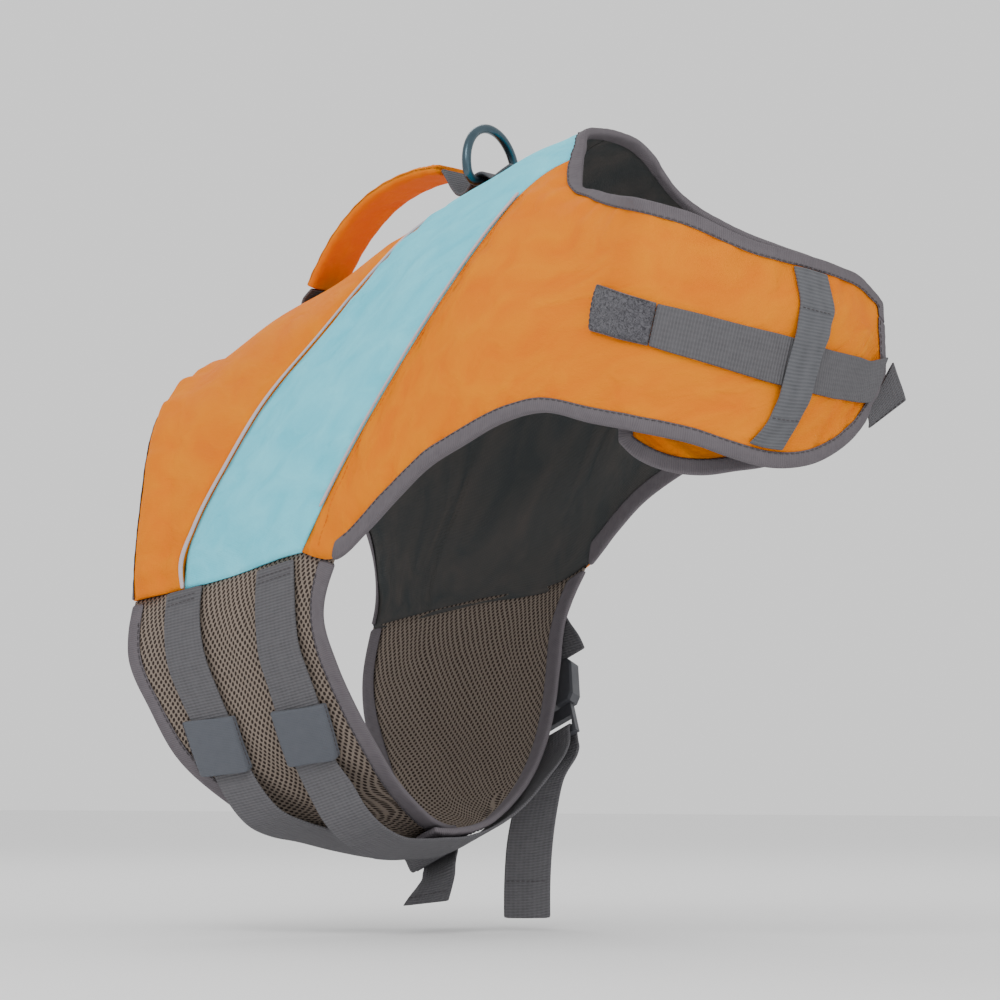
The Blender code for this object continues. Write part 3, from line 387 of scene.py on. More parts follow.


# The second colour of each cloth, tape and mesh finish is painted shade for its sunken parts; on the
# moulded finishes it is a random tone.
ORANGE = WovenPolyester("woven_polyester_orange", "EC8C00", "E47000", 0.75, gloss=0.1)
BLUE = WovenPolyester("woven_polyester_light_blue", "84E6F8", "5CCDE4", 0.75, gloss=0.1)
LINING = WovenPolyester("woven_lining_charcoal", "544F4C", "393F41", 0.85, thread=1.2, crinkle=0.25)
BINDING = RibbedTape("grosgrain_binding_grey", "6A6569", "4F4A4F", 0.85, rib=9.0, pick=1.1, depth=0.1,
                     gloss=0.1)
WEBBING = RibbedTape("nylon_webbing_dark_grey", "646366", "48474A", 0.75, rib=2.6, pick=1.6, gloss=0.1)
KEEPER = RibbedTape("smooth_tape_slate_grey", "5A5D64", "4A4D53", 0.7, sheen=0.05, rib=1.0, pick=0.9,
                    depth=0.06)
RIBBED = RibbedTape("ribbed_tape_slate_grey", "636468", "424347", 0.8, sheen=0.05, rib=9.0, pick=1.9,
                    depth=0.22)
LOOP = Napped("napped_loop_tape_grey", "605F64", "37363B", 0.95, sheen=0.25)
MESH = AirMesh("knitted_air_mesh_taupe", "85796F", "38302C", 0.9, gloss=0.1)
REFLECTIVE = RibbedTape("retroreflective_piping", "C9BABE", "AFA0A4", 0.38, rib=1.0, pick=0.8, depth=0.04,
                        gloss=0.5)
THREAD_DARK = Finish("polyester_thread_grey", "4C484B", "4C484B", 0.7)
THREAD_ORANGE = Finish("polyester_thread_orange", "DE7400", "DE7400", 0.7)
STEEL = Moulded("plated_steel_blue_grey", "53656E", "3C4E57", 0.3, metallic=1.0, gloss=0.5)
ACETAL = Moulded("moulded_acetal_dark_grey", "4A4B50", "3E3F44", 0.42, gloss=0.5)


# -------- cut of the shell
def named(kind: Callable, rows: Iterable[tuple]) -> list:
    """Turns plain rows of a table into rows with named columns."""
    return [kind(*row) for row in rows]


# One row for each section of a side, from the hem to the tip of the chest flap. A section is a
# cubic curve from its top point (spine, collar or neck edge) to its low point (mesh seam, leg
# opening or flap edge). at: place along the strip. facing: turn of the outward direction from
# sideways to forward. drop: slope of the curve's start. bow_top, bow_low: lengths of its handles.
# lean: forward lean of its lower handle.
Section = namedtuple(
    "Section", "at top_s top_out top_n low_s low_out low_n facing drop bow_top bow_low lean"
)
RIGHT_SIDE = named(Section, (
    (-12, 6, 0, 7, -16, 115, -122, 0, 0, 62, 72, 0), (45, 48, 0, 8, 45, 116, -140, 0, 0, 63, 80, 0),
    (105, 105, 0, 8, 107, 117, -154, 0, 0, 64, 88, 0), (118, 118, 0, 8, 117, 117, -164, 0, 0, 64, 94, 0),
    (134, 135, 0, 8, 134, 117, -163, 0, 0, 64, 95, 0), (158, 160, 0, 8, 155, 116, -157, 0, 0, 64, 92, 0),
    (206, 212, 0, 7, 197, 114, -148, -8, 0, 62, 84, 0),
    (242, 254, 0, 5, 229, 112, -148, -24, 0, 58, 80, 0),
    (268, 294, 0, 1, 252, 111, -152, -48, 0, 52, 76, 0),
    (282, 297, 28, -4, 266, 110, -158, -70, 8, 44, 72, 3),
    (294, 293, 45, -33, 277, 108, -168, -62, 20, 36, 64, 6),
    (308, 310, 62, -53, 289, 106, -178, -42, 38, 32, 54, 10),
    (322, 328, 78, -69, 296, 104, -183, -10, 60, 30, 45, 14),
    (338, 344, 92, -82, 301, 102, -187, 30, 75, 30, 38, 20),
    (365, 364, 82, -101, 319, 86, -202, 45, 82, 30, 36, 24),
    (390, 375, 64, -118, 333, 60, -219, 60, 84, 30, 34, 25),
    (415, 383, 41, -127, 342, 36, -223, 75, 84, 30, 34, 25),
    (440, 388, 14, -133, 351, 10, -217, 88, 84, 28, 31, 25),
    (465, 388, -14, -137, 359, -16, -202, 100, 84, 20, 22, 25),
    (484, 382, -36, -146, 368, -37, -178, 112, 84, 9, 10, 25),
))
LEFT_SIDE = named(Section, (
    (-12, 6, 0, 7, -28, 105, -122, 0, 0, 50, 62, 0), (45, 48, 0, 8, 41, 113, -139, 0, 0, 58, 74, 0),
    (105, 105, 0, 8, 107, 117, -157, 0, 0, 64, 90, 0), (128, 129, 0, 8, 127, 117, -154, 0, 0, 64, 88, 0),
    (158, 160, 0, 8, 155, 116, -143, 0, 0, 64, 82, 0), (206, 212, 0, 7, 197, 114, -139, -8, 0, 62, 78, 0),
    (242, 254, 0, 5, 229, 112, -141, -24, 0, 58, 74, 0),
    (268, 294, 0, 1, 252, 111, -144, -48, 0, 52, 70, 0),
    (282, 297, 27, -2, 266, 110, -149, -70, 8, 44, 66, 3),
    (294, 299, 45, -33, 278, 108, -156, -62, 20, 36, 58, 6),
    (308, 310, 63, -56, 290, 106, -161, -42, 38, 30, 48, 10),
    (322, 325, 78, -75, 300, 103, -161, -10, 60, 26, 34, 14),
    (338, 338, 90, -91, 309, 98, -158, 32, 74, 24, 26, 20),
    (361, 348, 80, -112, 322, 84, -165, 45, 80, 19, 21, 24),
    (385, 356, 58, -127, 333, 58, -179, 60, 84, 19, 21, 25),
    (411, 358, 30, -136, 335, 30, -191, 80, 84, 20, 22, 25),
    (440, 358, 0, -139, 333, 0, -202, 92, 84, 22, 24, 25),
    (468, 353, -28, -140, 322, -28, -211, 108, 84, 25, 27, 25),
    (494, 340, -52, -140, 310, -53, -211, 124, 84, 25, 27, 25),
    (516, 321, -71, -142, 297, -71, -205, 140, 84, 21, 23, 25),
    (534, 305, -81, -146, 287, -81, -195, 150, 84, 16, 18, 25),
    (550, 295, -86, -154, 282, -86, -182, 156, 84, 9, 10, 25),
))

# Seams of one side, a row for each line of nodes from the spine down to the mesh. down: place on
# the section. hem_at, rear_at: ends of the saddle. rim_at, rim_down: the band's node one margin
# short of its front end. front_at, front_down: the band's front end, at the neck edge in the
# first four rows and at the shoulder seam in the others.
Seam = namedtuple("Seam", "down hem_at rear_at rim_at rim_down front_at front_down")
SEAMS = named(Seam, (
    (0, 0, 222, 260, 0, 268, 0), (0.07, 0, 217, 267, 0.1, 275, 0),
    (0.13, 1, 210, 278, 0.13, 282, 0), (0.2, 2, 200, 283, 0.12, 290, 0),
    (0.27, 2, 189, 277, 0.25, 286, 0.16), (0.38, 4, 173, 264, 0.37, 275, 0.37),
    (0.5, 7, 136, 249, 0.5, 263, 0.505), (0.62, 9, 97, 226, 0.63, 240, 0.635),
    (0.74, 8, 69, 190, 0.745, 204, 0.75), (0.86, 3, 42, 134, 0.86, 145, 0.86),
    (0.945, -3, 28, 100, 0.94, 109, 0.94), (1, -8, 24, 92, 1, 100, 1),
))
NECK_ROW = 3               # row that carries the neck edge of the shoulder
LOW_ROW = len(SEAMS) - 1
SADDLE_STEPS = (0, 0.05, 0.17, 0.32, 0.48, 0.64, 0.8, 0.92, 1)
BAND_STEPS = (0, 0.18, 0.45, 0.75, 1)
SHOULDER_STEPS = (0, 0.08, 0.2, 0.32, 0.44, 0.56, 0.68, 0.8, 0.9, 1)
FLAP_START = 322
FLAP_STEPS = (0.045, 0.09, 0.18, 0.27, 0.36, 0.45, 0.54, 0.63, 0.72, 0.8, 0.87)
SADDLE_END = len(SADDLE_STEPS) - 1
BAND_END = SADDLE_END + len(BAND_STEPS)
LAST = BAND_END + len(SHOULDER_STEPS) - 1 + len(FLAP_STEPS) + 2
FOAM_IN, FOAM_OUT, EDGE_IN, SEAM_IN, MARGIN = 6.0, 3.2, 1.4, 2.0, 13.0
RELAX_FROM, RELAX_ROUNDS, SOFTEN_ROUNDS = 10, 4, 2


def spline(knots: Sequence[float], values: Sequence[float], x: float) -> float:
    """Smooth curve through the values at the knots, with no swing past a value.

    Args:
        knots: Rising places of the values.
        values: A value for each knot.
        x: Place to read.

    Returns:
        The value at x, held at either end.
    """
    if x <= knots[0]:
        return values[0]
    if x >= knots[-1]:
        return values[-1]
    i = max(j for j in range(len(knots) - 1) if knots[j] <= x)

    def slope(j: int) -> float:
        """Slope at a knot, level where the values turn."""
        lo, hi = max(j - 1, 0), min(j + 1, len(knots) - 1)
        if (values[hi] - values[j]) * (values[j] - values[lo]) < 0 or (
            lo < j < hi and values[j] in (values[lo], values[hi])
        ):
            return 0.0
        return (values[hi] - values[lo]) / (knots[hi] - knots[lo])

    width = knots[i + 1] - knots[i]
    t = (x - knots[i]) / width
    return (
        values[i] * (1 + 2 * t) * (1 - t) ** 2 + slope(i) * width * t * (1 - t) ** 2
        + values[i + 1] * t * t * (3 - 2 * t) + slope(i + 1) * width * t * t * (t - 1)
    )


def column(rows: Sequence[tuple], name: str, x: float) -> float:
    """Reads a named column of a table at x along its first column."""
    first = rows[0]._fields[0]
    return spline([getattr(r, first) for r in rows], [getattr(r, name) for r in rows], x)


def mix(a: float, b: float, t: float) -> float:
    """Blends two numbers."""
    return a + (b - a) * t


def unit(v: Grid) -> Grid:
    """Scales vectors in the last axis to length 1."""
    return v / np.maximum(np.linalg.norm(v, axis=-1, keepdims=True), 1e-9)


def wave(place: Grid, pitch: float, start: float = 0.0) -> Grid:
    """A sine of one pitch along a place, from a phase at its start."""
    return np.sin(place * 2 * math.pi / pitch + start)


def smooth(points: Grid, steps: int, axis: int = 0, closed: bool = False) -> Grid:
    """Samples smooth curves through points, with tangents that follow the chord lengths.

    Args:
        points: Array of points; the last axis holds the coordinates.
        steps: Samples for each span.
        axis: Axis along which the curves run.
        closed: True where the last point joins the first.

    Returns:
        The array with that axis made finer; every given point stays in it.
    """
    p = np.moveaxis(np.asarray(points, float), axis, 0)
    if closed:
        p = np.concatenate([p[-2:], p, p[:3]])
    if len(p) < 2:
        return np.asarray(points, float)
    d = np.maximum(np.linalg.norm(p[1:] - p[:-1], axis=-1, keepdims=True), 1e-6)
    chord = (p[1:] - p[:-1]) / d
    tangent = np.empty_like(p)
    if len(p) > 2:
        tangent[1:-1] = (chord[:-1] * d[1:] + chord[1:] * d[:-1]) / (d[:-1] + d[1:])
        tangent[0], tangent[-1] = 1.5 * chord[0] - 0.5 * tangent[1], 1.5 * chord[-1] - 0.5 * tangent[-2]
    else:
        tangent[0] = tangent[-1] = chord[0]
    made = []
    for k in range(steps):
        t = k / steps
        made.append(
            p[:-1] * (1 + 2 * t) * (1 - t) ** 2 + tangent[:-1] * d * t * (1 - t) ** 2
            + p[1:] * t * t * (3 - 2 * t) + tangent[1:] * d * t * t * (t - 1)
        )
    fine = np.stack(made, axis=1).reshape((-1,) + p.shape[1:])
    fine = fine[2 * steps:-2 * steps] if closed else np.concatenate([fine, p[-1:]])
    return np.moveaxis(fine, 0, axis)


class Strip:
    """One side of the shell as a surface from the hem to the flap's tip."""

    def __init__(self, flank: Flank) -> None:
        """Takes the section table of a side."""
        self.sign, self.rows = flank.value, RIGHT_SIDE if flank is Flank.RIGHT else LEFT_SIDE
        self.end = self.rows[-1].at

    def handles(self, at: float) -> tuple[Vector, Vector, Vector, Vector]:
        """Control points of the section curve at a place along the strip.

        Args:
            at: Place along the strip.

        Returns:
            The top point, two handles and the low point.
        """
        v = {f: column(self.rows, f, at) for f in Section._fields[1:]}
        facing, drop, lean = (math.radians(v[k]) for k in ("facing", "drop", "lean"))
        top = Vector((v["top_s"], self.sign * v["top_out"], v["top_n"]))
        low = Vector((v["low_s"], self.sign * v["low_out"], v["low_n"]))
        up = Vector((math.sin(lean), 0, math.cos(lean)))
        outward = Vector((COS * math.sin(facing), self.sign * math.cos(facing), -SIN * math.sin(facing)))
        start = outward * math.cos(drop) - up * math.sin(drop)
        return top, top + start * v["bow_top"], low + up * v["bow_low"], low

    def point(self, at: float, down: float) -> Vector:
        """Point on the surface; down is 0 at the top edge and 1 at the low edge."""
        (a, b, c, d), t, u = self.handles(at), down, 1 - down
        return a * u ** 3 + b * (3 * u * u * t) + c * (3 * u * t * t) + d * t ** 3

    def length(self, at: float) -> float:
        """Length of the section curve at a place."""
        steps = [self.point(at, k / 8) for k in range(9)]
        return sum((b - a).length for a, b in zip(steps, steps[1:]))


class Lattice:
    """Nodes of one side: column 0 at the hem, LAST at the flap's end, row 0 at the spine."""

    def __init__(self, flank: Flank) -> None:
        """Places, eases and faces the nodes.

        Args:
            flank: The side.
        """
        self.sign = flank.value
        self.strip = Strip(flank)
        self.where: dict[tuple[int, int], tuple[float, float]] = {}
        for row, seam in enumerate(SEAMS):
            self.place(row, seam)
        self.points = {key: self.strip.point(*place) for key, place in self.where.items()}
        self.relax()
        normals = {key: self.facing(*key) for key in self.points}
        for _ in range(SOFTEN_ROUNDS):
            normals = self.softened(normals)
        self.normals = normals

    def place(self, row: int, seam: Seam) -> None:
        """Sets the places of one row of nodes.

        Args:
            row: Number of the row.
            seam: Its places.
        """
        for c, step in enumerate(SADDLE_STEPS):
            self.where[c, row] = (mix(seam.hem_at, seam.rear_at, step), seam.down)
        for c, step in enumerate(BAND_STEPS):
            self.where[SADDLE_END + c, row] = (
                mix(seam.rear_at, seam.rim_at, step), mix(seam.down, seam.rim_down, step))
        self.where[BAND_END, row] = (seam.front_at, seam.front_down)
        if row < NECK_ROW:
            return
        c = BAND_END
        for step in SHOULDER_STEPS[1:]:
            c += 1
            at = mix(seam.front_at, FLAP_START, step)
            ease = min(1.0, step / 0.56)
            self.where[c, row] = (at, mix(seam.front_down, self.spread(at, row), ease))
        rim = self.strip.end - MARGIN * 0.8
        for step in FLAP_STEPS + (None, 1):
            c += 1
            at = rim if step is None else mix(FLAP_START, self.strip.end, step)
            self.where[c, row] = (at, self.spread(at, row))

    def spread(self, at: float, row: int) -> float:
        """Place of a row on a flap section, with one pressed margin at each end.

        Args:
            at: Place along the strip.
            row: Number of the row.

        Returns:
            Its place on the section.
        """
        margin = min(0.34, MARGIN / self.strip.length(at))
        if row in (NECK_ROW, LOW_ROW):
            return float(row == LOW_ROW)
        return mix(margin, 1 - margin, (row - NECK_ROW - 1) / (LOW_ROW - NECK_ROW - 2))

    def beside(self, c: int, r: int) -> list[tuple[int, int]]:
        """Keys of the nodes next to one."""
        return [k for k in ((c - 1, r), (c + 1, r), (c, r - 1), (c, r + 1)) if k in self.points]

    def relax(self) -> None:
        """Eases the cloth round the collar, and draws its edge out where the tape runs on evenly."""
        for _ in range(RELAX_ROUNDS):
            eased = {}
            for (c, r), point in self.points.items():
                near = self.beside(c, r)
                if len(near) == 4 and c >= RELAX_FROM and r != LOW_ROW:
                    eased[c, r] = point.lerp(sum((self.points[k] for k in near), Vector()) / 4, 0.5)
            self.points.update(eased)
        self.points[BAND_END, 0] = Vector((297.3, 0, 1.4))
        self.points[BAND_END, NECK_ROW] = Vector(
            (295.5, -36.3, -16.0) if self.sign < 0 else (297.0, 36.0, -15.0))

    def facing(self, c: int, r: int) -> Vector:
        """Outward unit normal from the neighbouring nodes.

        Args:
            c: Column of the node.
            r: Row of the node.

        Returns:
            The normal.
        """
        own = self.points[c, r]
        along = self.points.get((c + 1, r), own) - self.points.get((c - 1, r), own)
        down = self.points.get((c, r + 1), own) - self.points.get((c, r - 1), own)
        normal = along.cross(down)
        if r == 0:
            normal.y = 0
        return normal.normalized() * self.sign

    def softened(self, normals: dict) -> dict:
        """Normals averaged with their neighbours, kept upright on the spine.

        Args:
            normals: Normal of each node.

        Returns:
            The averaged normals.
        """
        fresh = {}
        for key, own in normals.items():
            total = own * 2 + sum((normals[k] for k in self.beside(*key)), Vector())
            if key[1] == 0:
                total.y = 0
            fresh[key] = total.normalized()
        return fresh

    def pressed(self, c: int, r: int) -> bool:
        """True where the shell is pressed thin: at bound edges and the mesh seam."""
        bound = r >= LOW_ROW - 1 or c == 0 or c >= LAST - 1
        return bound or (c >= BAND_END - 1 and r <= NECK_ROW + 1)

    @staticmethod
    def on_edge(c: int, r: int) -> bool:
        """True at the very edge of the shell."""
        return c in (0, LAST) or r == LOW_ROW or (c >= BAND_END and r <= NECK_ROW)

    def height(self, c: int, r: int, level: Level) -> float:
        """Height of a layer over the seam level at a node, in millimetres.

        Args:
            c: Column of the node.
            r: Row of the node.
            level: The layer.

        Returns:
            The height; inward is negative.
        """
        thin = self.pressed(c, r)
        if level is Level.OUTER:
            if c == LAST:
                return 1.2
            if thin or c in (SADDLE_END, BAND_END):
                return 0.0 if self.on_edge(c, r) or c in (SADDLE_END, BAND_END) else 1.3
            if c == BAND_END + 1:
                return FOAM_OUT * 0.35
            return FOAM_OUT * (0.7 if c in (1, SADDLE_END - 1, SADDLE_END + 1, BAND_END - 1) else 1.0)
        if level is Level.SEAM:
            return 0.0
        edge = SEAM_IN if r == LOW_ROW and c <= BAND_END else EDGE_IN
        deep = -edge if thin else -FOAM_IN
        if c == 1 and r < LOW_ROW - 1:
            deep = -mix(EDGE_IN, FOAM_IN, 0.7)
        elif BAND_END - 3 < c < BAND_END + 5 and r <= NECK_ROW + 3 and not thin:
            deep = -mix(EDGE_IN, FOAM_IN, 0.4)
        return deep - (GAP if level is Level.LINED else 0.0)

    def at(self, c: int, r: int, level: Level, more: float = 0.0) -> Grid:
        """Point of a layer at a node, moved out by a little more."""
        return np.array(self.points[c, r] + self.normals[c, r] * (self.height(c, r, level) + more))


# -------- making pieces
def on_row(points: Grid) -> Grid:
    """Body frame in millimetres to the row frame in metres."""
    s, n = points[..., 0] - WORN_AT[0], points[..., 2] - WORN_AT[1]
    return np.stack([s * COS - n * SIN, points[..., 1], s * SIN + n * COS], axis=-1) * MM


def add_piece(name: str, points: Grid, faces: Iterable[Sequence[int]], cut: Grid, finish: Finish,
              replaces: Sequence[str] = (), slot: str = "", levels: int = 0) -> Thing:
    """Adds one closed piece that rides on the root body.

    Args:
        name: Name of the piece.
        points: Points in the body frame, in millimetres.
        faces: Corner indices of each face.
        cut: Place of each point on the flat cut, in millimetres.
        finish: Finish of the piece.
        replaces: CAD nodes it stands for.
        slot: Material slot of the record; not used.
        levels: Levels of subdivision kept on it.

    Returns:
        The new object.
    """
    mesh = bpy.data.meshes.new(name)
    mesh.from_pydata(on_row(np.asarray(points, float)).tolist(), [], [list(f) for f in faces])
    flat = mesh.uv_layers.new(name="cut")
    corners = np.zeros(len(mesh.loops), dtype=np.int32)
    mesh.loops.foreach_get("vertex_index", corners)
    flat.data.foreach_set("uv", np.asarray(cut, float)[corners].astype(np.float32).ravel())
    made = bmesh.new()
    made.from_mesh(mesh)
    bmesh.ops.recalc_face_normals(made, faces=made.faces)
    if made.calc_volume(signed=True) < 0:
        bmesh.ops.reverse_faces(made, faces=made.faces)
    made.to_mesh(mesh)
    made.free()
    mesh.materials.append(finish.material())
    mesh.shade_smooth()
    thing = bpy.data.objects.new(name, mesh)
    bpy.context.scene.collection.objects.link(thing)
    if levels:
        finer = thing.modifiers.new("finer", "SUBSURF")
        finer.levels = finer.render_levels = levels
    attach(thing, "root")
    if replaces:
        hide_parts(*replaces)
    LOG.info("%s: %d points", name, len(mesh.vertices))
    return thing


def add_wall(name: str, outer: Grid, inner: Grid, quads: Sequence[Sequence[int]], flat: Grid,
             finish: Finish, replaces: str, slot: str) -> Thing:
    """Adds two faces that share the same cells, joined by a rim, as one piece.

    Args:
        name: Name of the piece.
        outer: Points of the outer face.
        inner: Points of the inner face, in the same order.
        quads: Cells of both faces.
        flat: Place of each point of a face on the flat cut.
        finish: Finish of the piece.
        replaces: CAD node it stands for.
        slot: Material slot of the record.

    Returns:
        The new object.
    """
    outer, inner, flat = (np.reshape(grid, (-1, np.shape(grid)[-1])) for grid in (outer, inner, flat))
    count = len(outer)
    faces = [list(q) for q in quads] + [[i + count for i in reversed(q)] for q in quads]
    edges = {(a, b) for q in quads for a, b in zip(q, list(q[1:]) + [q[0]])}
    faces += [[b, a, a + count, b + count] for a, b in edges if (b, a) not in edges]
    return add_piece(name, np.concatenate([outer, inner]), faces, np.concatenate([flat, flat]), finish,
                     (replaces,), slot)


def tube(rings: Grid, closed: bool = False) -> list:
    """Faces of a closed solid through equal rings of points.

    Args:
        rings: Array of rings, ring points and coordinates.
        closed: True where the last ring joins the first.

    Returns:
        Corner indices of each face.
    """
    count, size = rings.shape[:2]
    faces = []
    for i in range(count if closed else count - 1):
        j = (i + 1) % count
        for k in range(size):
            m = (k + 1) % size
            faces.append([i * size + k, i * size + m, j * size + m, j * size + k])
    if not closed:
        faces += [list(range(size)), [(count - 1) * size + k for k in reversed(range(size))]]
    return faces


def ring_cut(rings: Grid) -> Grid:
    """Flat-cut places of swept rings: along the sweep, and round the ring, in millimetres.

    Args:
        rings: Array of rings, ring points and coordinates.

    Returns:
        A place for each point, in the order of the rings.
    """
    step = np.linalg.norm(np.diff(rings, axis=1), axis=2).mean(axis=0)
    flat = np.empty(rings.shape[:2] + (2,))
    flat[..., 0] = travel(rings.mean(axis=1))[:, None]
    flat[..., 1] = np.concatenate([[0], np.cumsum(step)])
    return flat.reshape(-1, 2)


def travel(path: Grid) -> Grid:
    """Length run along a path up to each of its points."""
    return np.concatenate([[0], np.cumsum(np.linalg.norm(np.diff(path, axis=0), axis=1))])


def cells(points: Grid) -> list:
    """Corner indices of the cells of a grid of points."""
    columns, rows = points.shape[:2]
    return [[i * rows + j, (i + 1) * rows + j, (i + 1) * rows + j + 1, i * rows + j + 1]
            for i in range(columns - 1) for j in range(rows - 1)]


def blend(grid: Grid, x: float, y: float) -> Grid:
    """Value of a grid between its samples.

    Args:
        grid: Values at whole places.
        x: Place along the first axis.
        y: Place along the second.

    Returns:
        The blended value.
    """
    i = min(max(int(x), 0), grid.shape[0] - 2)
    j = min(max(int(y), 0), grid.shape[1] - 2)
    x, y = x - i, y - j
    return (grid[i, j] * (1 - x) * (1 - y) + grid[i + 1, j] * x * (1 - y)
            + grid[i, j + 1] * (1 - x) * y + grid[i + 1, j + 1] * x * y)


def sheet_cut(points: Grid) -> Grid:
    """Flat-cut places of a grid of points: lengths along and down it, in millimetres.

    Args:
        points: Grid of points.

    Returns:
        Both lengths at each point.
    """
    flat = np.zeros(points.shape[:2] + (2,))
    flat[1:, :, 0] = np.cumsum(np.linalg.norm(np.diff(points, axis=0), axis=-1), axis=0)
    flat[:, 1:, 1] = np.cumsum(np.linalg.norm(np.diff(points, axis=1), axis=-1), axis=1)
    return flat


def area_of(points: Grid) -> float:
    """Area of a grid of points in square metres."""
    edges = points[1:, :-1] - points[:-1, :-1], points[:-1, 1:] - points[:-1, :-1]
    return float(np.linalg.norm(np.cross(*edges), axis=-1).sum()) * MM * MM


# Rings along one stitch: their places and sizes as shares of its pitch and its radius, the share of
# the radius by which it sinks in, and the angles of a ring's corners.
STITCH_PLACES = np.array([0.08, 0.25, 0.5, 0.75, 0.92])
STITCH_SIZES = (0.25, 0.85, 1.0, 0.85, 0.25)
STITCH_SUNK = 0.8
STITCH_CORNERS = [math.radians(45 + 90 * turn) for turn in range(4)]


@dataclass
class Stitches:
    """Rows of short raised stitches, gathered into one piece.

    Attributes:
        name: Name of the piece.
        finish: Thread.
        pitch: Distance from one stitch to the next, in millimetres.
        radius: Half the thread's thickness.
    """

    name: str
    finish: Finish
    pitch: float = 3.4
    radius: float = 0.3
    points: list = field(default_factory=list)
    faces: list = field(default_factory=list)

    def row(self, path: Grid, normals: Grid) -> None:
        """Lays stitches along a path.

        Args:
            path: Points of the path, in millimetres.
            normals: Outward unit normal at each point.
        """
        place = travel(path)
        for k in range(int(place[-1] // self.pitch)):
            span = (STITCH_PLACES + k) * self.pitch
            line, up = (np.stack([np.interp(span, place, grid[:, i]) for i in range(3)], axis=1)
                        for grid in (path, normals))
            up = unit(up)
            side = unit(np.cross(line[-1] - line[0], up))
            base = len(self.points)
            for i, size in enumerate(STITCH_SIZES):
                r, lift = self.radius * size, self.radius * (size - STITCH_SUNK)
                self.points += [line[i] + side[i] * r * math.cos(a) + up[i] * (r * math.sin(a) + lift)
                                for a in STITCH_CORNERS]
            rings = np.zeros((len(STITCH_SIZES), len(STITCH_CORNERS)))
            self.faces += [[base + corner for corner in face] for face in tube(rings)]

    def build(self) -> None:
        """Adds the rows laid so far as one piece."""
        if self.points:
            points = np.array(self.points)
            add_piece(self.name, points, self.faces, points[:, :2], self.finish, slot="binding_tape")


# -------- padded shell
FINE = 5                   # samples in each cell of the cut
# Puckers along the sewn edges: where they start and end their growth, how far they reach from the
# ends and from the sides, and the pitch and size of each wave.
PUCKERS_FROM, PUCKERS_FULL, PUCKER_REACHES = 2.0, 9.0, (15.0, 12.0)
PUCKERS = ((34.0, 0.6), (21.0, 0.75), (13.0, 0.5))
SWAY_PITCH = 47.0 * 2 * math.pi
SLACK_WAVES, SLACK_PITCH, SLACK_SIZE = 5, (55, 120), 0.55
EDGE_ZONE = 24.0           # width of the zone that the edges calm
HEM_PUFF = 3.0             # how far the foam swells beside the hem's binding


